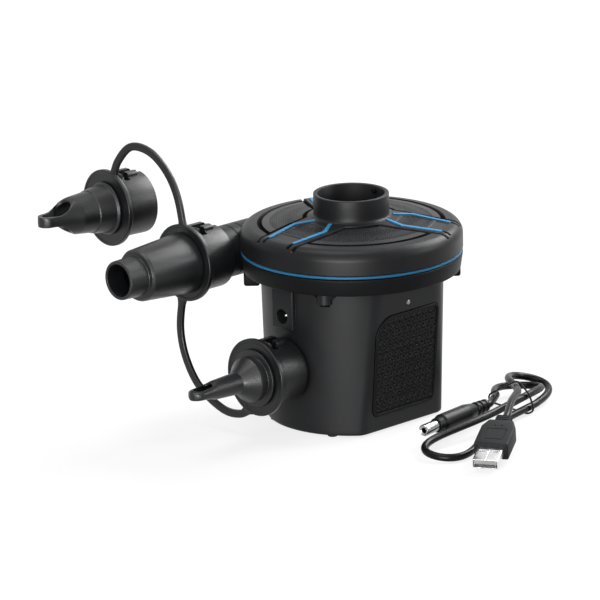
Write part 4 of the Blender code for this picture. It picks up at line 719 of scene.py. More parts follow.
def circle(count, offset=0.0):
    """The cosines and sines of even angles round a circle."""
    angles = [2 * math.pi * (i + offset) / count for i in range(count)]
    return [(math.cos(angle), math.sin(angle)) for angle in angles]


def quarter(steps, first=1):
    """The sines and cosines of even steps through a quarter turn."""
    angles = [QUARTER_TURN * k / steps for k in range(first, steps + 1)]
    return [(math.sin(angle), math.cos(angle)) for angle in angles]


def band_faces(rows, sides, closed=False):
    """The faces between rings of points; closed also joins the last ring to the first."""
    faces = []
    for row in range(rows if closed else rows - 1):
        low, high = row * sides, (row + 1) % rows * sides
        for i in range(sides):
            k = (i + 1) % sides
            faces.append((low + i, low + k, high + k, high + i))
    return faces


def rounded(points, radius, steps=4, closed=True):
    """An outline with its corners rounded."""
    points = [Vector(p) for p in points]
    made = []
    count = len(points)
    for i, corner in enumerate(points):
        back = points[i - 1] - corner
        ahead = points[(i + 1) % count] - corner
        is_end = not closed and i in (0, count - 1)
        if is_end or min(back.length, ahead.length) < TINY or back.angle(ahead) / 2 > NEARLY_STRAIGHT:
            made.append(corner)
            continue
        half = back.angle(ahead) / 2
        reach = min(radius / math.tan(half), back.length * ROUND_SHARE, ahead.length * ROUND_SHARE)
        start = corner + back.normalized() * reach
        end = corner + ahead.normalized() * reach
        for k in range(steps + 1):
            t = k / steps
            made.append(start * (1 - t) ** 2 + corner * 2 * t * (1 - t) + end * t**2)
    return made


def lathe(profile, sides=ROUND_SIDES, at=None):
    """A turned mesh from a profile (r, z): closed, or from axis to axis."""
    verts = []
    rings = []
    for r, z in profile:
        if r < TINY:
            rings.append([len(verts)] * sides)
            verts.append((0.0, 0.0, z))
            continue
        rings.append(list(range(len(verts), len(verts) + sides)))
        verts += [(r * c, r * s, z) for c, s in circle(sides)]
    faces = []
    pairs = list(zip(rings, rings[1:]))
    if profile[0][0] > TINY:
        pairs.append((rings[-1], rings[0]))
    for low, high in pairs:
        for i in range(sides):
            k = (i + 1) % sides
            face = list(dict.fromkeys((low[i], low[k], high[k], high[i])))
            if len(face) > 2:
                faces.append(face)
    return from_faces(verts, faces, at)


def loft(rings, at=None):
    """A closed mesh through rings of the same number of points, capped at both ends."""
    count = len(rings[0])
    verts = [p for ring in rings for p in ring]
    faces = [list(range(count))[::-1], [len(verts) - count + i for i in range(count)]]
    return from_faces(verts, faces + band_faces(len(rings), count), at)


def block(low, high, at=None):
    """A box between two corners, as a mesh to carve with."""
    corners = [(x, y, z) for z in (low[2], high[2]) for x, y in
               ((low[0], low[1]), (high[0], low[1]), (high[0], high[1]), (low[0], high[1]))]
    return loft([corners[:4], corners[4:]], at)


def plate(outline, z_low, z_high, at=None):
    """A flat outline raised from z_low to z_high."""
    return loft([[(x, y, z_low) for x, y in outline], [(x, y, z_high) for x, y in outline]], at)


def rod(radius, z_low, z_high, at=None, sides=SMALL_SIDES):
    """A plain cylinder along Z, as a mesh to carve with."""
    return lathe([(0.0, z_low), (radius, z_low), (radius, z_high), (0.0, z_high)], sides, at)


def rectangle(x_low, x_high, y_low, y_high, radius, steps=8):
    """A rectangle's outline with round corners; one radius, or four from the lower left, anticlockwise."""
    radii = radius if isinstance(radius, tuple) else (radius,) * 4
    centres = ((x_low, y_low, 1, 1, 180), (x_high, y_low, -1, 1, 270),
               (x_high, y_high, -1, -1, 0), (x_low, y_high, 1, -1, 90))
    outline = []
    for r, (x, y, dx, dy, start) in zip(radii, centres):
        for k in range(steps + 1):
            angle = math.radians(start + 90.0 * k / steps)
            outline.append((x + dx * r + r * math.cos(angle), y + dy * r + r * math.sin(angle)))
    return outline


def smooth_route(points, step):
    """Evenly spaced points on a smooth curve through the route's own points."""
    points = [Vector(p) for p in points]
    ends = [2 * points[0] - points[1]] + points + [2 * points[-1] - points[-2]]
    fine = []
    for i in range(1, len(ends) - 2):
        a, b, c, d = ends[i - 1:i + 3]
        for k in range(CURVE_STEPS):
            t = k / CURVE_STEPS
            fine.append(0.5 * (2 * b + (c - a) * t + (2 * a - 5 * b + 4 * c - d) * t**2
                               + (3 * b - a - 3 * c + d) * t**3))
    fine.append(points[-1])
    length = sum((q - p).length for p, q in zip(fine, fine[1:]))
    count = max(2, round(length / step))
    route = [fine[0]]
    travelled = 0.0
    for p, q in zip(fine, fine[1:]):
        travelled += (q - p).length
        while len(route) < count and travelled >= len(route) * length / count:
            over = travelled - len(route) * length / count
            route.append(q + (p - q).normalized() * over)
    route.append(fine[-1])
    return route


def piece(name, mesh, mat, body, slot, *nodes, angle=32.0):
    """A finished visible piece on a body, standing for CAD nodes."""
    mesh.name = name
    mesh.materials.clear()
    mesh.materials.append(mat)
    mesh.shade_smooth()
    mesh.set_sharp_from_angle(angle=math.radians(angle))
    obj = placed(name, mesh)
    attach(obj, body)
    if nodes:
        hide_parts(*nodes)
    return obj


# Charge cable first, because its room is checked

def plug_frame():
    """The round plug's frame: Z from its rear end to its tip."""
    along = (PLUG_TIP - PLUG_REAR).normalized()
    return Matrix.Translation(PLUG_REAR) @ along.to_track_quat("Z", "Y").to_matrix().to_4x4()


def usb_frame():
    """The flat plug's frame: X from its tip to its rear, Z up from its wide side."""
    return Matrix.Translation(USB_TIP) @ turn(USB_HEADING + HALF_TURN, "Z") @ turn(-USB_PITCH, "Y")


def loop_path(loop):
    """One loop of the hank, from the tie out and back to it, as a drop shape."""
    heading = math.radians(loop["heading"])
    along = Vector((math.cos(heading), math.sin(heading), 0.0))
    side = Vector((along.y, -along.x, 0.0))
    start_side, end_side = loop["sides"]
    start_z, end_z = loop["heights"]
    power = loop["power"]
    widest = 2 * ((power + 1) / (power + 2)) ** ((power + 1) / 2) / math.sqrt(power + 2)
    points = []
    for i in range(1, LOOP_POINTS):
        phase = 2 * math.pi * i / LOOP_POINTS
        out = math.sin(phase / 2)
        share = (1 - math.cos(phase / 2)) / 2
        swell = -loop["half"] * math.sin(phase) * out**power / widest
        sideways = start_side + (end_side - start_side) * share + swell + loop["skew"] * out**2
        height = start_z + (end_z - start_z) * share + loop["lift"] * out**2
        points.append(TIE_AT + along * loop["length"] * out + side * sideways + Vector((0, 0, height)))
    return points


def cable_route():
    """The whole cable as one route: round plug, three loops through the tie, flat plug."""
    plug_back = (PLUG_REAR - PLUG_TIP).normalized()
    usb = usb_frame()
    neck = USB_SHELL_LENGTH + USB_BODY_LENGTH + USB_RELIEF_LENGTH
    usb_back = (usb.to_3x3() @ Vector((1.0, 0.0, 0.0))).normalized()
    usb_end = usb @ Vector((neck, 0.0, 0.0))
    route = [PLUG_REAR + plug_back * GAP, PLUG_REAR + plug_back * CABLE_D]
    route += loop_path(BACK_UPPER)
    route += loop_path(FRONT)
    route += loop_path(BACK_LOWER)
    route += [Vector(place) for place in RUN_OUT]
    route += [usb_end + usb_back * CABLE_D * USB_LEAD_OUT, usb_end + usb_back * GAP]
    return route


def tie_outline(route, reach):
    """The taut outline round all strands that pass the tie, in the tie's own plane."""
    along = Vector((math.cos(TIE_HEADING), math.sin(TIE_HEADING), 0.0))
    side = Vector((along.y, -along.x, 0.0))
    strands = []
    for place in route:
        off = place - TIE_AT
        past = max(0.0, abs(off.dot(along)) - TIE_WIDTH / 2)
        if past < CABLE_D / 2 and off.length < PLUG_BODY_LENGTH:
            strands.append((off.dot(side), off.z, math.sqrt((CABLE_D / 2) ** 2 - past**2)))
    outline = []
    for c, s in circle(TIE_SIDES):
        x, z, r = max(strands, key=lambda strand: strand[0] * c + strand[1] * s + strand[2])
        outline.append((x + (r + reach) * c, z + (r + reach) * s))
    return outline


def make_round_plug():
    """The round plug: tapered grip, ringed relief, and a drawn metal barrel."""
    total = (PLUG_TIP - PLUG_REAR).length
    front = total - PLUG_BARREL_LENGTH
    back = front - PLUG_BODY_LENGTH
    pitch = back / PLUG_RINGS
    seat = front - PLUG_SEAT
    profile = [(0.0, seat), (PLUG_BARREL_R, seat), (PLUG_BARREL_R, front)]
    profile += [(PLUG_BODY_R * wide, front - PLUG_BODY_R * off) for wide, off in PLUG_NOSE]
    profile += [(PLUG_BODY_R, back + PLUG_BODY_R * PLUG_REAR_TAPER), (PLUG_RELIEF_R, back)]
    for i in range(PLUG_RINGS):
        ring = PLUG_RELIEF_R - PLUG_RING_TAPER * i
        radii = (PLUG_WAIST_R, PLUG_WAIST_R, ring, ring)
        profile += [(r, back - pitch * i - pitch * mark) for r, mark in zip(radii, PLUG_RING_MARKS)]
    profile += [(PLUG_WAIST_R, 0.0), (0.0, 0.0)]
    grip = lathe(rounded(profile, PLUG_ROUND, 3, closed=False), SMALL_SIDES, plug_frame())
    body = piece("round_plug_grip", grip, PLUG, "charge_lead", "cable_pvc", "round_plug_body")
    barrel = rounded([
        (PLUG_BARREL_R - BARREL_LIP, total), (PLUG_BARREL_R, total - BARREL_CHAMFER),
        (PLUG_BARREL_R, seat + GAP), (PLUG_BORE_R, seat + GAP), (PLUG_BORE_R, total - BARREL_BORE_EDGE),
        (PLUG_BORE_R + BARREL_LIP, total - BARREL_FACE), (PLUG_BARREL_R - 2 * BARREL_LIP, total - BARREL_FACE),
    ], BARREL_ROUND, 2)
    tube = piece("round_plug_tube", lathe(barrel, SMALL_SIDES, plug_frame()), BARREL, "charge_lead",
                 "bright_steel", "round_plug_barrel")
    return [body, tube]


def make_flat_plug():
    """The flat plug: moulded grip with a thumb panel, folded metal shell and the tongue."""
    at = usb_frame()
    start = USB_SHELL_LENGTH
    end = start + USB_BODY_LENGTH
    taper = end - USB_TAPER
    wide, narrow, thick = USB_BODY_W / 2, USB_BODY_W * USB_NARROW, USB_BODY_H / 2
    outline = [(start, -wide), (taper, -wide), (end, -narrow), (end, narrow), (taper, wide), (start, wide)]
    grip = bevelled(plate(outline, -thick, thick), USB_ROUND, 3, 30.0)
    neck_w, neck_h = USB_RELIEF_W / 2, USB_RELIEF_H / 2
    neck = block((end - USB_LAP, -neck_w, -neck_h), (end + USB_RELIEF_LENGTH, neck_w, neck_h))
    steps = [add(bevelled(neck, USB_RELIEF_ROUND, 3))]
    panel, inner = (rectangle(start + low, start + high, -half, half, corner)
                    for low, high, half, corner in (USB_PANEL_OUTER, USB_PANEL_INNER))
    for side in (1, -1):
        level = side * thick
        groove = plate(panel, level - USB_LINE_DEPTH, level + USB_LINE_DEPTH)
        steps.append(cut(carve(groove, cut(plate(inner, level - OVERCUT, level + OVERCUT)))))
        for y in (-USB_DOT_Y, USB_DOT_Y):
            dot = rod(USB_DOT_R, level - USB_DOT_R, level + USB_DOT_R, move(start + USB_DOT_X, y), 12)
            steps.append(cut(dot))
    deep = USB_RIB_DEPTH
    for k in range(USB_RIBS):
        low = end + USB_RIB_START + USB_RIB_PITCH * k
        ring = block((low, -USB_RELIEF_H, -USB_RELIEF_H), (low + USB_RIB_W, USB_RELIEF_H, USB_RELIEF_H))
        core = block((low - OVERCUT, deep - neck_w, deep - neck_h),
                     (low + 2 * OVERCUT, neck_w - deep, neck_h - deep))
        steps.append(cut(carve(ring, cut(core))))
    half_w, half_h = USB_SHELL_W / 2, USB_SHELL_H / 2
    seat = start + USB_SHELL_SEAT
    steps.append(cut(block((0.0, -half_w, -half_h), (seat, half_w, half_h))))
    grip = carve(grip, *steps)
    grip.transform(at)
    body = piece("flat_plug_grip", grip, FLAT, "charge_lead", "cable_pvc", "flat_plug_body")

    wall = USB_SHELL_WALL
    outer = rectangle(-half_w, half_w, -half_h, half_h, USB_SHELL_ROUND, 5)
    inner = rectangle(wall - half_w, half_w - wall, wall - half_h, half_h - wall, USB_SHELL_HOLLOW, 5)
    shell = carve(plate(outer, 0.0, seat - FIT, STAND_YZ),
                  cut(plate(inner, -wall, seat - wall - FIT, STAND_YZ)))
    cuts = []
    for side in (1, -1):
        low, high = side * half_h - 2 * wall, side * half_h + 2 * wall
        for y in (-USB_WINDOW_Y, USB_WINDOW_Y):
            cuts.append(cut(block((USB_WINDOW_FROM, y - USB_WINDOW_HALF, low),
                                  (USB_WINDOW_TO, y + USB_WINDOW_HALF, high))))
    cuts.append(cut(block((-OVERCUT, -USB_SEAM, half_h - USB_SEAM_DEPTH),
                          (seat + OVERCUT, USB_SEAM, half_h + OVERCUT))))
    shell = carve(shell, *cuts)
    shell.transform(at)
    case = piece("flat_plug_case", shell, STEEL, "charge_lead", "bright_steel", "flat_plug_shell")
    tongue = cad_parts["flat_plug_tongue"]
    return [body, case, tongue]


def make_cable():
    """The cable as one smooth curve with its plugs, and the tie round the hank's waist."""
    route = smooth_route(cable_route(), FINE_STEP)
    curve = bpy.data.curves.new("charge_flex", "CURVE")
    curve.dimensions = "3D"
    curve.bevel_depth = CABLE_D / 2
    curve.bevel_resolution = 6
    curve.use_fill_caps = True
    spline = curve.splines.new("POLY")
    spline.points.add(len(route) - 1)
    for point, place in zip(spline.points, route):
        point.co = (*place, 1.0)
    spline.use_smooth = True
    curve.materials.append(CABLE)
    flex = placed("charge_flex", curve)
    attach(flex, "charge_lead")
    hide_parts("charge_cable")

    line = tie_outline(route, GAP + TIE_BAND / 2)
    at = Matrix.Translation(TIE_AT) @ turn(TIE_HEADING - QUARTER_TURN, "Z") @ turn(QUARTER_TURN, "X")
    verts = []
    count = len(line)
    for i in range(count):
        here = Vector(line[i])
        along = (Vector(line[(i + 1) % count]) - Vector(line[i - 1])).normalized()
        side = Vector((along.y, -along.x))
        for c, s in circle(TIE_SECTION):
            out = here + side * c * TIE_BAND * TIE_FILL
            verts.append((out.x, out.y, s * TIE_WIDTH * 0.5))
    mesh = from_faces(verts, band_faces(count, TIE_SECTION, closed=True), at)
    tie = piece("cable_tie_ring", mesh, PLUG, "charge_lead", "cable_pvc", "cable_tie")
    plugs = make_round_plug() + make_flat_plug() + [tie]


make_cable()


# Lid

def ease(distance, width):
    """0 below zero, 1 above a width, smooth between."""
    t = np.clip(distance / width, 0.0, 1.0)
    return t * t * (3 - 2 * t)


def lid_features(x, y):
    """How far the lid's top is sunk at points seen from above, where it is dotted and how glossy it is, with
    the gloss taken away in the grooves and slits as painted shade.
    """
    r = np.hypot(x, y)
    clear = np.full_like(r, 1.0)
    sunk, dotted, cuts, deep, smooth = (np.zeros_like(r) for _ in range(5))
    for degrees in ARM_ANGLES:
        c, s = math.cos(math.radians(degrees)), math.sin(math.radians(degrees))
        a = x * c + y * s
        side = np.abs(y * c - x * s)
        half = np.interp(a, (ARM_KINK_A, LID_R + COVER_ROUND_R), (ARM_HALF_INNER, ARM_HALF_OUTER))
        clear = np.minimum(clear, np.where(a > 0.0, side - half, 1.0))
        strip = np.interp(a, (STRIP_IN_A, ARM_KINK_A, STRIP_OUT_A),
                          (STRIP_IN_SIDE, STRIP_KINK_SIDE, STRIP_OUT_SIDE))
        across = strip - PANEL_INSET - side
        inner = np.minimum.reduce([across, a - PANEL_IN_A, PANEL_OUT_A - a])
        outer = np.minimum.reduce([across, a - PANEL_OUT_A - PANEL_GAP, PANEL_END_A - a])
        sunk += PANEL_DEPTH * (ease(inner, PANEL_SOFT) + ease(outer, PANEL_SOFT))
        dotted = np.maximum(dotted, ease(inner - PANEL_MARGIN, FIELD_SOFT))
        smooth = np.maximum(smooth, PANEL_SHEEN * ease(outer - PANEL_MARGIN, FIELD_SOFT))
        for place, start in ((STRIP_OUT_SIDE, SLIT_FROM_A), (half + SECTOR_GROOVE_W / 2, SLIT_JOIN_A)):
            slit = np.minimum.reduce([SLIT_HALF - np.abs(side - place), a - start, SLIT_TO_A - a])
            slit = ease(slit + EDGE_GROW, SLIT_SOFT)
            cuts = np.maximum(cuts, SLIT_DEPTH * slit)
            # A slit gets no gloss: painted shade in it
            deep = np.maximum(deep, slit)
    inside = np.minimum.reduce([clear, r - SECTOR_INNER_R, SECTOR_OUTER_R - r])
    sector = ease(inside, SECTOR_SOFT)
    sunk += SECTOR_DEPTH * sector
    groove = sector * ease(SECTOR_GROOVE_W - inside, FIELD_SOFT)
    sunk += np.maximum(cuts, SECTOR_GROOVE * groove)
    # The groove round a sector gets no gloss either: painted shade in it
    deep = np.maximum(deep, sector * ease(SECTOR_GROOVE_W + FIELD_SOFT - inside, SLIT_SOFT))
    dotted = np.maximum(dotted, ease(np.minimum(inside - DOT_MARGIN, DOT_FIELD_R - r), FIELD_SOFT))
    smooth = np.maximum(smooth, ease(inside - SECTOR_GROOVE_W, SMOOTH_SOFT)) * (1 - dotted)
    sheen = LID_SHEEN + (SMOOTH_SHEEN - LID_SHEEN) * smooth + (DOTTED_SHEEN - LID_SHEEN) * dotted
    return sunk, dotted, sheen * (1 - deep)


def lid_profile():
    """The lid's turned section: down the collar, out over the top, round the edge and up the bore."""
    foot_z = COVER_EDGE_Z + (COVER_EDGE_R - COLLAR_R) * COVER_SLOPE
    outer = rounded([(COLLAR_BORE_R, COLLAR_TOP_Z), (COLLAR_R, COLLAR_TOP_Z), (COLLAR_R, foot_z)],
                    COLLAR_EDGE, 4, False)
    profile = [tuple(p) for p in outer[1:-1]]
    profile += [(COLLAR_R, foot_z + up) for up in COLLAR_ROWS]
    profile += [(COLLAR_R + COLLAR_FOOT_R * (1 - c), foot_z + COLLAR_FOOT_R * (1 - s))
                for s, c in quarter(5, 0)]
    top_start = len(profile)
    first = COLLAR_R + COLLAR_FOOT_R
    for k in range(1, LID_ROWS + 1):
        r = first + (COVER_EDGE_R - first) * k / LID_ROWS
        profile.append((r, COVER_EDGE_Z + (COVER_EDGE_R - r) * COVER_SLOPE))
    profile += [(COVER_EDGE_R + COVER_ROUND_R * s, COVER_SHOULDER_Z + COVER_ROUND_R * c)
                for s, c in quarter(16)]
    top_end = len(profile)
    inner_r = LID_R - LID_WALL
    profile += [(LID_R, COVER_Z + LID_CHAMFER), (LID_R - LID_CHAMFER, COVER_Z), (inner_r, COVER_Z),
                (inner_r, COVER_SHOULDER_Z)]
    hollow = COVER_ROUND_R - LID_WALL
    profile += [(COVER_EDGE_R + hollow * c, COVER_SHOULDER_Z + hollow * s) for s, c in quarter(3)]
    skirt = COLLAR_BORE_R + COLLAR_SKIRT_W
    lip = COLLAR_BORE_R - COLLAR_LIP
    profile += [
        (skirt, COVER_EDGE_Z + (COVER_EDGE_R - skirt) * COVER_SLOPE - COVER_SKIN),
        (skirt, COLLAR_SKIRT_Z), (lip, COLLAR_SKIRT_Z), (lip, COLLAR_SKIRT_Z + COLLAR_LIP_H),
        (COLLAR_BORE_R, COLLAR_SKIRT_Z + COLLAR_LIP_H), (COLLAR_BORE_R, COLLAR_TOP_Z - COLLAR_EDGE),
        (COLLAR_BORE_R + COLLAR_EDGE * 0.4, COLLAR_TOP_Z - COLLAR_EDGE * 0.3),
    ]
    return np.array(profile), top_start, top_end


def make_lid():
    """The top cover as a turned skin whose top is sunk by its arms, sectors, panels and slits."""
    line, top_start, top_end = lid_profile()
    ahead = np.roll(line, -1, 0) - np.roll(line, 1, 0)
    normal = np.stack([-ahead[:, 1], ahead[:, 0]], 1)
    normal /= np.linalg.norm(normal, axis=1)[:, None]
    angle = np.arange(LID_COLUMNS) * 2 * math.pi / LID_COLUMNS
    r = np.repeat(line[:, :1], LID_COLUMNS, 1)
    z = np.repeat(line[:, 1:], LID_COLUMNS, 1)
    sunk, dotted, sheen = lid_features(r * np.cos(angle), r * np.sin(angle))
    on_top = np.zeros((len(line), 1))
    on_top[top_start:top_end] = 1.0
    sunk *= on_top
    dotted *= on_top
    sheen = np.where(on_top > 0.0, sheen, LID_SHEEN)
    r = r - normal[:, :1] * sunk
    z = z - normal[:, 1:] * sunk
    verts = np.stack([r * np.cos(angle), r * np.sin(angle), z], -1).reshape(-1, 3)
    mesh = from_faces(verts, band_faces(len(line), LID_COLUMNS, closed=True))
    # The sheen attribute is the lid's gloss, with painted shade as no gloss in its grooves and slits
    for name, field in (("dots", dotted), ("sheen", sheen)):
        attribute = mesh.attributes.new(name, "FLOAT", "POINT")
        attribute.data.foreach_set("value", field.ravel().astype(np.float32))
    piece("lid_cover", mesh, LID, "pump", "black_plastic", "top_cover", angle=38.0)
    pins = []
    tip, root = COLLAR_BORE_R - COLLAR_PIN_REACH, COLLAR_BORE_R + COLLAR_PIN_ROOT
    for i in range(2):
        at = turn(HALF_TURN * i, "Z") @ move(z=COLLAR_PIN_Z) @ turn(-QUARTER_TURN, "X")
        profile = [(0.0, tip), (COLLAR_PIN_R, tip), (COLLAR_PIN_R, root), (0.0, root)]
        pins.append(lathe(rounded(profile, COLLAR_PIN_ROUND, 3, False), 24, at))
    piece("collar_pins", joined(*pins), LID, "pump", "black_plastic")


def duct_room():
    """The room that the outlet tube takes from the pieces it passes."""
    return rod(SPIGOT_R + GAP, -DUCT_TAIL_Y - GAP, -SPIGOT_END_Y, facing(OUTLET_X, OUTLET_Z), ROUND_SIDES)


def make_rim():
    """The blower rim with its rounded lower edge and lugs, and the trim ring."""
    inner = LID_R - LID_WALL
    profile = rounded([
        (LID_R, RIM_Z + RIM_H), (LID_R - RIM_DRAFT, RIM_Z), (SHAFT_HOLE_R, RIM_Z),
        (SHAFT_HOLE_R, RIM_Z + RIM_FLOOR), (inner, RIM_Z + RIM_FLOOR), (inner, RIM_Z + RIM_H),
    ], RIM_ROUND, 5)
    steps = []
    for degrees, drop in LUGS:
        lug = block((LUG_IN_R, -LUG_HALF_W, RIM_Z - drop), (LUG_OUT_R, LUG_HALF_W, RIM_Z + RIM_FLOOR / 2))
        lug = bevelled(lug, LUG_ROUND, 4)
        lug.transform(turn(math.radians(degrees), "Z"))
        steps.append(add(lug))
    steps.append(cut(duct_room()))
    mesh = carve(lathe(profile, BIG_SIDES), *steps)
    # The rim uses the darker copy of the body's plastic: painted shade under the lid
    piece("blower_rim_shell", mesh, SHADED_RIM, "pump", "black_plastic", "blower_rim")
    outer, inner = LID_R - TRIM_SUNK, LID_R - TRIM_SUNK - TRIM_WIDTH
    profile = rounded([(outer, TRIM_Z + TRIM_H), (outer, TRIM_Z), (inner, TRIM_Z), (inner, TRIM_Z + TRIM_H)],
                      TRIM_ROUND, 3)
    piece("trim_band", lathe(profile, BIG_SIDES), BLUE, "pump", "blue_plastic", "trim_ring")


make_lid()
make_rim()


# Housing and grips

def housing_radius(z):
    """The housing's outer radius at a height."""
    share = (z - BASE_Z) / (RIM_Z - BASE_Z)
    return HOUSING_R_BOTTOM + (HOUSING_R_TOP - HOUSING_R_BOTTOM) * share


def facet_frame(side):
    """A frame on a grip side: X outwards, Z up along the flat."""
    about = turn(0.0 if side > 0 else HALF_TURN, "Z")
    return about @ move(FACET_X_BOTTOM) @ turn(FACET_TILT, "Y")


def ring_place(radius, degrees, z=0.0):
    """A frame at a place on a circle round the pump's axis, with its X pointing outwards."""
    return turn(math.radians(degrees), "Z") @ move(radius, 0.0, z)


def pad_outline(side, inset=0.0):
    """One side's grip pad, drawn in by an inset, with its tighter top corner to the rear."""
    half = PAD_WIDTH / 2 - inset
    low, front, rear = PAD_LOW_CORNER_R - inset, PAD_TOP_CORNER_R - inset, PAD_REAR_CORNER_R - inset
    right, left = (rear, front) if side > 0 else (front, rear)
    return rectangle(-half, half, PAD_BOTTOM_Z + inset, PAD_TOP_Z - inset, (low, low, right, left))


def flatten_sides(mesh):
    """Press a turned body flat on both grip sides, with soft edges between flat and round."""
    for vert in mesh.vertices:
        r = math.hypot(vert.co.x, vert.co.y)
        if r < HOUSING_WALL:
            continue
        inset = housing_radius(vert.co.z) - r
        flat = FACET_X_BOTTOM + vert.co.z * math.tan(FACET_TILT) - inset
        flat *= r / max(abs(vert.co.x), HOUSING_WALL)
        share = clamp(0.5 + 0.5 * (flat - r) / FACET_BLEND)
        scale = (flat + (r - flat) * share - FACET_BLEND * share * (1 - share)) / r
        vert.co.x *= scale
        vert.co.y *= scale
    return mesh


def boss_web():
    """The flare of a lid boss towards the rim, flattened against the wall."""
    low, high = HOUSING_TOP_Z - BOSS_H + BOSS_WEB_START, HOUSING_TOP_Z - BOSS_SLIP
    profile = [(0.0, low)]
    for k in range(9):
        t = k / 8
        profile.append((BOSS_R + BOSS_WEB * t * t, low + (high - low) * t))
    return lathe(profile + [(0.0, high)], SMALL_SIDES, Matrix.Diagonal((BOSS_WEB_FLAT, 1.0, 1.0, 1.0)))


def make_housing():
    """The tapered shell with flats, panel, bosses, recesses and holes, finely faceted."""
    r_low, r_high = housing_radius(BASE_Z), housing_radius(HOUSING_TOP_Z)
    outline = rounded([(0.0, HOUSING_TOP_Z), (r_high, HOUSING_TOP_Z), (r_low, BASE_Z), (0.0, BASE_Z)],
                      HOUSING_ROUND, 5, False)
    outline[1:7] = [Vector((r_high + (r_low - r_high) * k / HOUSING_ROWS,
                            HOUSING_TOP_Z + (BASE_Z - HOUSING_TOP_Z) * k / HOUSING_ROWS))
                    for k in range(HOUSING_ROWS)]
    body = flatten_sides(lathe(outline, BODY_SIDES))
    floor_z = BASE_Z + FLOOR_THICK
    cavity = lathe([(0.0, COLLAR_TOP_Z), (r_high - HOUSING_WALL, COLLAR_TOP_Z),
                    (r_high - HOUSING_WALL, HOUSING_TOP_Z), (r_low - HOUSING_WALL, floor_z),
                    (0.0, floor_z)], ROUND_SIDES)
    steps = []
    inside = []
    for side in (1, -1):
        flat = facet_frame(side)
        inside.append(cut(block((-FACET_WALL, -LID_R, -LID_R), (LID_R, LID_R, 3 * LID_R), flat)))
        inside.append(cut(block((-LID_R, INNER_FLAT_Y, -LID_R), (LID_R, 2 * LID_R, 3 * LID_R),
                                turn(QUARTER_TURN * (1 - side), "Z"))))
        seat = plate(pad_outline(side, -GAP), -PAD_SEAT_DEPTH, PAD_SEAT_DEPTH, flat @ STAND_YZ)
        steps.append(cut(seat))
    for degrees in BOSS_ANGLES:
        at = ring_place(BOSS_RING_R, degrees)
        steps.append(add(rod(BOSS_R, HOUSING_TOP_Z - BOSS_H, HOUSING_TOP_Z - BOSS_SLIP, at)))
        web = boss_web()
        web.transform(at)
        steps.append(add(web))
    panel = block((JACK_X - JACK_PANEL_W / 2, JACK_FACE_Y, JACK_Z - JACK_PANEL_DROP),
                  (JACK_X + JACK_PANEL_W / 2, -INNER_FLAT_Y, HOUSING_TOP_Z - JACK_SLIP))
    steps.append(add(bevelled(panel, JACK_PANEL_EDGE, 4)))
    steps.append(cut(carve(cavity, *inside)))
    for degrees in BOSS_ANGLES:
        at = ring_place(BOSS_RING_R, degrees, HOUSING_TOP_Z - BOSS_H)
        steps.append(cut(rod(SCREW_SEAT_R, -SCREW_SEAT_H, SCREW_SEAT_H, at)))
    hole, ledge, ledge_z = BASE_HOLE_R, COVER_PLATE_R + GAP, PLATE_TOP_Z + GAP
    steps.append(cut(lathe([(0.0, BASE_HOLE_TOP), (hole, BASE_HOLE_TOP), (hole, ledge_z), (ledge, ledge_z),
                            (ledge, BASE_HOLE_LOW), (0.0, BASE_HOLE_LOW)], ROUND_SIDES)))
    for degrees in FOOT_ANGLES:
        steps.append(cut(rod(FOOT_SEAT_R, -OVERCUT, FOOT_SEAT_DEPTH, ring_place(FOOT_RING_R, degrees, BASE_Z))))
    steps.append(cut(rod(JACK_HOLE_R, INNER_FLAT_Y - HOUSING_WALL, LID_R, facing(JACK_X, JACK_Z))))
    post = rod(SPIGOT_R + FIT, -DOCK_SEAT_Y - GAP, LID_R, facing(DOCK_X, DOCK_Z), ROUND_SIDES)
    steps.append(cut(post))
    steps.append(cut(rod(LAMP_HOLE_R, -LAMP_LENGTH, LAMP_LENGTH,
                         facet_frame(1) @ move(z=LAMP_Z) @ turn(QUARTER_TURN, "Y"), 32)))
    half_w, half_h = SWITCH_RECESS_W / 2, SWITCH_RECESS_H / 2
    recess = rectangle(-half_w, half_w, SWITCH_Z - half_h, SWITCH_Z + half_h, SWITCH_CORNER_R, 4)
    steps.append(cut(plate(recess, -LID_R, -SWITCH_FACE_Y, FACE_FRONT)))
    half_w, half_h = SWITCH_BODY_W / 2, SWITCH_BODY_H / 2
    steps.append(cut(block((-half_w, INNER_FLAT_Y - HOUSING_WALL, SWITCH_Z - half_h),
                           (half_w, LID_R, SWITCH_Z + half_h))))
    room = Vector((GAP, GAP, GAP))
    steps.append(cut(block(DUCT_BOX_LOW - room, DUCT_BOX_HIGH + room)))
    steps.append(cut(duct_room()))
    piece("housing_shell", carve(body, *steps), BODY, "pump", "black_plastic", "motor_housing", angle=25.0)


def motif_height(u, v):
    """The grip's raised motif: three armed hooks on a triangular grid, all turning the same way."""
    pitch = MOTIF_PITCH
    row_step = pitch * math.sqrt(3) / 2
    reach = pitch * MOTIF_REACH
    best = np.full(u.shape, 1.0)
    row = np.floor(v / row_step)
    for down in (-1, 0, 1, 2):
        line = row + down
        shift = np.where(np.mod(line, 2) == 0, 0.0, pitch / 2)
        column = np.floor((u - shift) / pitch)
        for over in (-1, 0, 1, 2):
            cx = (column + over) * pitch + shift
            cy = line * row_step
            for k in range(3):
                angle = math.radians(90 + 120 * k)
                bend = angle - MOTIF_BEND
                ax, ay = math.cos(angle) * reach, math.sin(angle) * reach
                points = ((0.0, 0.0), (ax, ay), (ax + math.cos(bend) * reach * MOTIF_HOOK,
                                                 ay + math.sin(bend) * reach * MOTIF_HOOK))
                for (x0, y0), (x1, y1) in zip(points, points[1:]):
                    dx, dy = x1 - x0, y1 - y0
                    px, py = u - cx - x0, v - cy - y0
                    t = np.clip((px * dx + py * dy) / (dx * dx + dy * dy), 0.0, 1.0)
                    best = np.minimum(best, np.hypot(px - t * dx, py - t * dy))
    return MOTIF_RISE * ease(MOTIF_HALF - best + EDGE_GROW, MOTIF_SOFT)


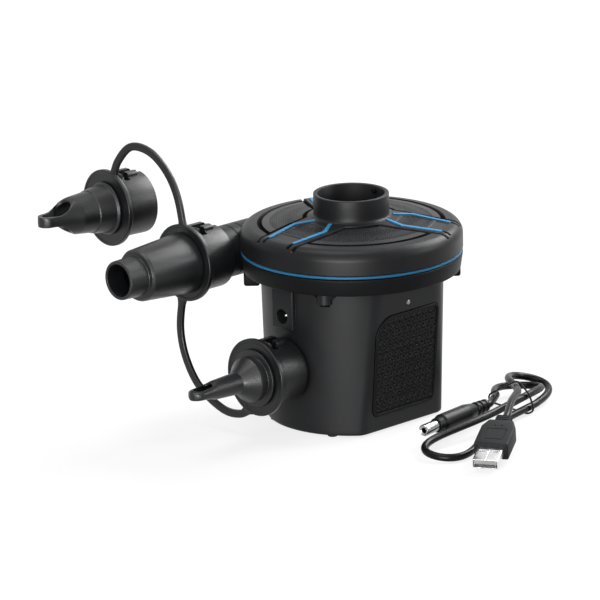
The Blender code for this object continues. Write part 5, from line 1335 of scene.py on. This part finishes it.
def make_grip(side, name):
    """One grip pad: a raised border round a field covered with the motif."""
    at = facet_frame(side) @ STAND_YZ
    level = PAD_PROUD - PAD_FIELD_DEPTH
    outer = plate(pad_outline(side), GAP - PAD_SEAT_DEPTH, PAD_PROUD)
    hollow = plate(pad_outline(side, PAD_BORDER), level - PAD_ROUND, PAD_PROUD + PAD_FIELD_DEPTH)
    border = bevelled(carve(outer, cut(hollow)), PAD_ROUND, 3, 50.0)
    half = PAD_WIDTH / 2 - PAD_BORDER + PAD_LAP
    low_z, high_z = PAD_BOTTOM_Z + PAD_BORDER - PAD_LAP, PAD_TOP_Z - PAD_BORDER + PAD_LAP
    wide = round(2 * half / PAD_STEP)
    tall = round((high_z - low_z) / PAD_STEP)
    u, v = np.meshgrid(np.linspace(-half, half, wide), np.linspace(low_z, high_z, tall))
    mid_z, half_z = (low_z + high_z) / 2, (high_z - low_z) / 2
    top_corner = np.where(u * side > 0.0, PAD_REAR_CORNER_R, PAD_TOP_CORNER_R)
    corner = np.where(v > mid_z, top_corner, PAD_LOW_CORNER_R) - PAD_BORDER
    within = corner - np.hypot(np.maximum(np.abs(u) - half + corner, 0.0),
                               np.maximum(np.abs(v - mid_z) - half_z + corner, 0.0))
    height = (level + motif_height(u, v) * ease(within - MOTIF_MARGIN, FIELD_SOFT)
              - PAD_ROUND * (1 - ease(within, FIELD_SOFT)))
    top = np.stack([u, v, height], -1).reshape(-1, 3)
    bottom = np.stack([u, v, np.full(u.shape, level - PAD_FIELD_THICK)], -1).reshape(-1, 3)
    faces = []
    size = len(top)
    for i in range(tall - 1):
        for k in range(wide - 1):
            a = i * wide + k
            faces.append((a, a + 1, a + wide + 1, a + wide))
    ring = list(range(wide)) + [i * wide + wide - 1 for i in range(1, tall)]
    ring += [tall * wide - 2 - k for k in range(wide - 1)] + [i * wide for i in range(tall - 2, 0, -1)]
    for a, b in zip(ring, ring[1:] + ring[:1]):
        faces.append((a, b, b + size, a + size))
    faces.append([a + size for a in ring])
    mesh = joined(border, from_faces(np.concatenate([top, bottom]), faces))
    mesh.transform(at)
    piece("grip_" + name, mesh, GRIP, "pump", "grip_plastic", "grip_pad_" + name, angle=50.0)


make_housing()
make_grip(1, "right")
make_grip(-1, "left")


# Duct, nozzles and tether

def make_duct():
    """The outlet duct: a tube past the blower's side with a round tail, two fine ring lines and its pin."""
    at = facing(OUTLET_X, OUTLET_Z)
    tail, mouth = -DUCT_TAIL_Y, -SPIGOT_END_Y
    profile = [(0.0, tail), (SPIGOT_R, tail), (SPIGOT_R, mouth), (0.0, mouth)]
    profile = rounded(profile, DUCT_TAIL_ROUND, 6, False)
    front = rounded([(SPIGOT_R, 0.0), (SPIGOT_R, mouth), (0.0, mouth)], DUCT_MOUTH_ROUND, 3, False)
    profile[8:-1] = front[1:-1]
    tube = lathe(profile, ROUND_SIDES, at)
    steps = [add(block(DUCT_BOX_LOW, DUCT_BOX_HIGH))]
    floor, over = SPIGOT_R - DUCT_LINE, SPIGOT_R + OVERCUT
    for y in DUCT_LINE_Y:
        end = 2 * DUCT_LINE - y
        steps.append(cut(lathe([(over, -y), (floor, -y), (floor, end), (over, end)], ROUND_SIDES, at)))
    steps.append(add(rod(PIN_R, SPIGOT_R - SPIGOT_WALL / 2, SPIGOT_R + PIN_REACH,
                         move(OUTLET_X, PIN_Y, OUTLET_Z), 24)))
    steps.append(cut(rod(SPIGOT_R - SPIGOT_WALL, DUCT_TAIL_WALL - DUCT_TAIL_Y, DUCT_BORE_END, at, ROUND_SIDES)))
    wall = Vector((DUCT_PORT_WALL, DUCT_PORT_WALL, DUCT_PORT_WALL))
    through = Vector((2 * wall.x, 0.0, 0.0))
    steps.append(cut(block(DUCT_BOX_LOW + wall, DUCT_BOX_HIGH - wall + through)))
    piece("outlet_duct_body", carve(tube, *steps), BODY, "pump", "black_plastic", "outlet_duct")


def nozzle_frame(x, z, yaw=0.0):
    """A nozzle's frame in the flange plane: its Z points to the tip, its Y up."""
    return move(x, FLANGE_Y, z) @ turn(yaw, "Z") @ FACE_FRONT


def socket_profile(bore_front):
    """The neck groove, the socket and its bore, from the flange back and in again."""
    return [
        (NECK_R, GAP), (NECK_R, SOCKET_START_S), (SOCKET_R, SOCKET_START_S), (SOCKET_R, SOCKET_END_S),
        (SOCKET_BORE_R, SOCKET_END_S), (SOCKET_BORE_R, SOCKET_FLOOR_S), (NECK_BORE_R, SOCKET_FLOOR_S + GAP),
        (NECK_BORE_R, bore_front),
    ]


def bayonet():
    """The steps that give a socket its raised pad with the L slot."""
    pad = bevelled(block((-SLOT_PAD_HALF, SOCKET_R - PAD_RISE * 2, -SLOT_PAD_REAR),
                         (SLOT_PAD_HALF, SOCKET_R + PAD_RISE, -SLOT_PAD_FRONT)), PAD_RISE * SLOT_PAD_ROUND, 5)
    deep, high = SPIGOT_R * SLOT_DEEP, SOCKET_R + 2 * PAD_RISE
    front = SLOT_W / 2 - SLOT_BACK
    along = block((-SLOT_W / 2, deep, SOCKET_END_S - SLOT_W), (SLOT_W / 2, high, front))
    across = block((-SLOT_W / 2 - FIT, deep, -SLOT_W / 2 - SLOT_BACK), (SLOT_REACH, high, front - FIT))
    return [add(pad), cut(along), cut(across)]


def make_large_nozzle():
    """The large stepped nozzle on the outlet."""
    profile = [
        (LARGE_BORE_R, LARGE_MOUTH_S), (LARGE_MOUTH_R, LARGE_MOUTH_S),
        (LARGE_MOUTH_R + LARGE_DRAFT, LARGE_STEP_S),
        (LARGE_SHOULDER_R - LARGE_STEP_IN, LARGE_STEP_S - LARGE_STEP_FALL),
        (LARGE_SHOULDER_R, LARGE_SHOULDER_S), (LARGE_BASE_R, GAP),
    ]
    profile += socket_profile(LARGE_SHOULDER_S - LARGE_BORE_STOP)
    profile += [(LARGE_BORE_R, LARGE_STEP_S)]
    mesh = carve(lathe(rounded(profile, LARGE_ROUND, 4)), *bayonet())
    mesh.transform(nozzle_frame(OUTLET_X, OUTLET_Z))
    piece("nozzle_large_body", mesh, NOZZLE, "nozzle_large", "black_plastic", "nozzle_large")


def scoop(profile_of, start, end, tip_s, tip_r, steps=40, count=64):
    """A tapered body along a nozzle's axis whose section goes from round to a flat rounded bar."""
    rings = []
    for i in range(steps + 1):
        s = start + (end - start) * (1 - (1 - i / steps) ** TIP_CROWD)
        wide, tall, power = profile_of(s)
        if s > tip_s:
            share = math.sqrt(max(1 - ((s - tip_s) / tip_r) ** 2, 0.0))
            wide = max(tip_r * share, TIP_LEAST)
            tall = tall * (TIP_THIN + TIP_GAIN * share)
        rings.append([(wide * math.copysign(abs(c) ** (2 / power), c),
                       tall * math.copysign(abs(d) ** (2 / power), d), s) for c, d in circle(count)])
    return loft(rings)


def loop_hole(root_s, root_half, tip_s, tip_half):
    """The slot through a loop, seen from above."""
    outline = []
    for k in range(17):
        angle = math.pi * k / 16
        outline.append((tip_half * math.cos(angle), tip_s + tip_half * math.sin(angle)))
    for k in range(17):
        angle = math.pi * (1 + k / 16)
        outline.append((root_half * math.cos(angle), root_s + root_half * LOOP_ROOT * math.sin(angle)))
    return plate(outline, -LOOP_CUT, LOOP_CUT, FACE_FRONT)


def make_pinch_nozzle():
    """The pinch valve nozzle: a stepped cone, scooped away above and below into a loop, on the tether."""
    rings = []
    tip = PINCH_LOOP_S + PINCH_TIP_R
    for i in range(PINCH_ROWS + 1):
        along = 1 - (1 - i / PINCH_ROWS) ** PINCH_CROWD
        s = PINCH_STEP_S - PINCH_WALL + (tip - PINCH_STEP_S + PINCH_WALL) * along
        cone = PINCH_MID_R + (PINCH_END_R - PINCH_MID_R) * (s - PINCH_STEP_S) / (PINCH_SCOOP_S - PINCH_STEP_S)
        run = clamp((s - PINCH_SCOOP_S) / (PINCH_LOOP_S - PINCH_SCOOP_S))
        fall = clamp((s - PINCH_SCOOP_S) / PINCH_SCOOP_FALL)
        wide = cone + (PINCH_TIP_R - cone) * run
        tall = cone + (PINCH_LOOP_HALF - cone) * fall * fall * (3 - 2 * fall)
        if s > PINCH_LOOP_S:
            share = math.sqrt(max(1 - ((s - PINCH_LOOP_S) / PINCH_TIP_R) ** 2, 0.0))
            wide = max(PINCH_TIP_R * share, PINCH_LEAST)
        rings.append([(wide * c, min(max(max(cone, tall) * d, -tall), tall), s)
                      for c, d in circle(PINCH_SIDES, 0.5)])
    profile = [
        (NECK_BORE_R - PINCH_MOUTH_IN, PINCH_STEP_S), (PINCH_MID_R, PINCH_STEP_S + PINCH_STEP_RISE),
        (PINCH_STEP_R, PINCH_STEP_S - PINCH_STEP_FALL), (PINCH_CONE_R, GAP + PINCH_WALL),
        (PINCH_BASE_R, GAP + PINCH_WALL / 2), (PINCH_BASE_R, GAP),
    ]
    profile += socket_profile(GAP + PINCH_BORE_STOP)
    base = lathe(rounded(profile, NOZZLE_ROUND, 3))
    bore_end = PINCH_SCOOP_S + PINCH_BORE_TIP_R
    bore = lathe([(0.0, -OVERCUT), (NECK_BORE_R - PINCH_BORE_IN, -OVERCUT),
                  (PINCH_END_R - PINCH_WALL, PINCH_SCOOP_S), (PINCH_BORE_TIP_R, bore_end),
                  (0.0, bore_end)], 64)
    slot = loop_hole(PINCH_SCOOP_S + PINCH_SLOT_START, PINCH_SLOT_HALF, PINCH_LOOP_S, PINCH_TIP_R - PINCH_BAND)
    body = carve(loft(rings), cut(slot), cut(bore))
    mesh = carve(base, add(body), *bayonet())
    mesh.transform(nozzle_frame(PINCH_X, PINCH_Z, PINCH_YAW))
    piece("nozzle_pinch_body", mesh, NOZZLE, "nozzle_pinch", "black_plastic", "nozzle_pinch")


def fine_section(s):
    """Half width, half height and squareness of the fine nozzle's tube at a place along it."""
    taper = min((s - FINE_TUBE_S) / (FINE_END_S - FINE_TUBE_S), 1.0)
    tube = FINE_TUBE_R + (FINE_END_R - FINE_TUBE_R) * taper
    t = clamp((s - FINE_ROOT_S) / (FINE_LOOP_S - FINE_ROOT_S))
    wide = tube + (FINE_TIP_R - tube) * t
    tall = tube + (FINE_LOOP_H / 2 - tube) * t ** FINE_FLATTEN
    return wide, tall, 2.0 + FINE_SQUARE * t


def make_fine_nozzle():
    """The fine valve nozzle: drum, cone and slim tube that flattens into an eye."""
    profile = [
        (FINE_TUBE_R - FINE_WALL, FINE_TUBE_S), (FINE_TUBE_R, FINE_TUBE_S + FINE_TUBE_LIP),
        ((FINE_TUBE_R + FINE_DRUM_R) / 2 - FINE_CONE_DIP, (FINE_TUBE_S + FINE_DRUM_S) / 2),
        (FINE_DRUM_R - FINE_DRUM_EDGE, FINE_DRUM_S), (FINE_DRUM_R, FINE_DRUM_S - FINE_DRUM_FALL),
        (FINE_DRUM_R, FINE_BASE_S), (FINE_BASE_R, FINE_BASE_S), (FINE_BASE_R, GAP),
    ]
    profile += socket_profile(FINE_DRUM_S - FINE_BASE_S)
    base = lathe(rounded(profile, NOZZLE_ROUND, 3))
    body = scoop(fine_section, FINE_TUBE_S - FINE_LAP, FINE_LOOP_S + FINE_TIP_R, FINE_LOOP_S, FINE_TIP_R)
    bore = rod(FINE_END_R - FINE_WALL, FINE_TUBE_S - FINE_BORE_LAP, FINE_END_S)
    slot = loop_hole(FINE_END_S, FINE_TIP_R - FINE_BAND, FINE_LOOP_S, FINE_TIP_R - FINE_BAND)
    body = carve(body, cut(bore), cut(slot))
    mesh = carve(base, add(body), *bayonet())
    mesh.transform(nozzle_frame(DOCK_X, DOCK_Z))
    piece("nozzle_fine_body", mesh, NOZZLE, "nozzle_fine", "black_plastic", "nozzle_fine")


def strap_mesh(points):
    """A rounded flat strap along a route in the flange plane, flaring at both ends."""
    route = smooth_route([(x, z, 0.0) for x, z in points], STRAP_STEP)
    total = len(route) - 1
    rings = []
    for i, here in enumerate(route):
        along = (route[min(i + 1, total)] - route[max(i - 1, 0)]).normalized()
        side = Vector((-along.y, along.x, 0.0))
        near = min(i, total - i) * STRAP_STEP
        flare = 1.0 + (STRAP_FLARE - 1.0) * max(0.0, 1.0 - near / STRAP_FLARE_LENGTH) ** 2
        half = STRAP_WIDTH / 2 * flare
        section = rectangle(-half, half, -STRAP_THICK / 2, STRAP_THICK / 2, STRAP_ROUND, 4)
        rings.append([(here.x + side.x * a, here.y + side.y * a, b) for a, b in section])
    at = move(y=FLANGE_Y) @ FACE_FRONT @ move(z=-RING_THICK / 2)
    return loft(rings, at)


def make_tether():
    """The moulded tether: a rounded ring in each neck groove and two straps that flare into them."""
    inner = NECK_R + GAP
    profile = rounded([
        (RING_R, 0.0), (RING_R, -RING_THICK), (inner, -RING_THICK), (inner, -RING_FACE),
        (RING_R - RING_DISH_W, -RING_DISH), (RING_R - RING_EDGE, 0.0),
    ], RING_ROUND, 4)
    first, *others = [lathe(profile, ROUND_SIDES, nozzle_frame(*place))
                      for place in ((OUTLET_X, OUTLET_Z), (PINCH_X, PINCH_Z, PINCH_YAW), (DOCK_X, DOCK_Z))]
    others += [strap_mesh(UPPER_STRAP), strap_mesh(LOWER_STRAP)]
    mesh = carve(first, *[add(other) for other in others])
    piece("tether_body", mesh, TETHER, "nozzle_set", "tether_plastic", "tether")


make_duct()
make_large_nozzle()
make_pinch_nozzle()
make_fine_nozzle()
make_tether()


# CAD nodes that stay: smooth shading and the detailed material of their slot

def smooth_group():
    """A modifier group that welds a mesh and shades it smooth below an edge angle."""
    group = bpy.data.node_groups.new("smooth_by_angle", "GeometryNodeTree")
    for way in ("INPUT", "OUTPUT"):
        group.interface.new_socket("Geometry", in_out=way, socket_type="NodeSocketGeometry")
    start = group.nodes.new("NodeGroupInput")
    end = group.nodes.new("NodeGroupOutput")
    weld = node(group, "GeometryNodeMergeByDistance",
                (("Geometry", start.outputs[0]), ("Distance", WELD_DISTANCE)))
    angle = group.nodes.new("GeometryNodeInputMeshEdgeAngle")
    sharp = node(group, "FunctionNodeCompare", ((0, angle.outputs["Unsigned Angle"]), (1, SMOOTH_BELOW)),
                 data_type="FLOAT", operation="LESS_THAN")
    faces = node(group, "GeometryNodeSetShadeSmooth", (("Geometry", weld.outputs[0]), ("Shade Smooth", True)),
                 domain="FACE")
    edges = node(group, "GeometryNodeSetShadeSmooth",
                 (("Geometry", faces.outputs[0]), ("Shade Smooth", sharp.outputs[0])), domain="EDGE")
    group.links.new(edges.outputs[0], end.inputs[0])
    return group


def dress_nodes():
    """Give every CAD node that stays its material and smooth shading."""
    group = smooth_group()
    for name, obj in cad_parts.items():
        if obj.hide_render:
            continue
        slot = next((slot for part, slot in NODE_SLOTS if part in name), "black_plastic")
        for holder in obj.material_slots:
            holder.material = SLOT_MATERIAL[slot]
        mod = obj.modifiers.new("smooth_by_angle", "NODES")
        mod.node_group = group


dress_nodes()


# Floor, background and light

FLOOR_PALE = (0.95, 0.95, 0.95, 1.0)
FLOOR_BOUNCE = (0.16, 0.16, 0.16, 1.0)
FLOOR_GLOW = 0.80
WORLD_FILL = 0.12
WHITE_LIGHT = (1.0, 1.0, 1.0, 1.0)
FLOOR_HALF = 6.0
FLOOR_DROP = 0.00002
LAMP_AIM = Vector((0.0, 0.0, 0.06))
# Name, place, size, power, and whether it lights matt surfaces as well as gloss
LAMPS = (
    ("front_light", (0.82, -1.24, 0.72), (1.4, 1.3), 15.0, True),
    ("front_gloss", (0.88, -1.24, 0.052), (0.9, 0.07), 30.0, False),
    ("back_light", (0.10, 1.10, 0.95), (1.0, 0.6), 28.0, True),
    ("side_gloss", (1.10, 1.02, 0.62), (0.6, 0.6), 9.0, False),
    ("top_light", (-0.10, -0.25, 1.50), (0.8, 0.8), 12.0, True),
)


def make_stage():
    """A pale floor that keeps the object's shadow, a white background and the lamps."""
    bpy.context.scene.view_settings.view_transform = "Standard"
    half = FLOOR_HALF
    corners = [(-half, -half, 0), (half, -half, 0), (half, half, 0), (-half, half, 0)]
    floor_mesh = from_faces(corners, [(0, 1, 2, 3)])
    floor = placed("floor", floor_mesh)
    floor.location.z = -FLOOR_DROP
    mat = bpy.data.materials.new("pale_floor")
    mat.use_nodes = True
    tree = mat.node_tree
    tree.nodes.remove(tree.nodes["Principled BSDF"])
    pale = node(tree, "ShaderNodeBsdfDiffuse", (("Color", FLOOR_PALE),))
    dim = node(tree, "ShaderNodeBsdfDiffuse", (("Color", FLOOR_BOUNCE),))
    glow = node(tree, "ShaderNodeEmission", (("Color", WHITE_LIGHT), ("Strength", 1.0)))
    lit = node(tree, "ShaderNodeMixShader", (("Fac", FLOOR_GLOW), (1, pale.outputs[0]), (2, glow.outputs[0])))
    mix = node(tree, "ShaderNodeMixShader",
               (("Fac", seen_directly(tree)), (1, dim.outputs[0]), (2, lit.outputs[0])))
    tree.links.new(mix.outputs[0], tree.nodes["Material Output"].inputs["Surface"])
    floor_mesh.materials.append(mat)

    world = bpy.data.worlds.new("studio")
    bpy.context.scene.world = world
    world.use_nodes = True
    tree = world.node_tree
    back = tree.nodes["Background"]
    back.inputs["Color"].default_value = WHITE_LIGHT
    strength = node(tree, "ShaderNodeMapRange",
                    (("Value", seen_directly(tree)), ("To Min", WORLD_FILL), ("To Max", 1.0)))
    tree.links.new(strength.outputs[0], back.inputs["Strength"])

    for name, place, size, power, spread in LAMPS:
        data = bpy.data.lights.new(name, "AREA")
        data.shape = "RECTANGLE"
        data.size, data.size_y = size
        data.energy = power
        lamp = placed(name, data)
        lamp.location = place
        lamp.visible_camera = False
        lamp.visible_diffuse = spread
        lamp.rotation_euler = (LAMP_AIM - Vector(place)).to_track_quat("-Z", "Y").to_euler()


def seen_directly(tree):
    """1 for rays from the camera, or off gloss or through glass."""
    path = tree.nodes.new("ShaderNodeLightPath")
    seen = path.outputs["Is Camera Ray"]
    for kind in ("Is Glossy Ray", "Is Transmission Ray"):
        both = node(tree, "ShaderNodeMath", ((0, seen), (1, path.outputs[kind])), operation="MAXIMUM")
        seen = both.outputs[0]
    return seen


make_stage()
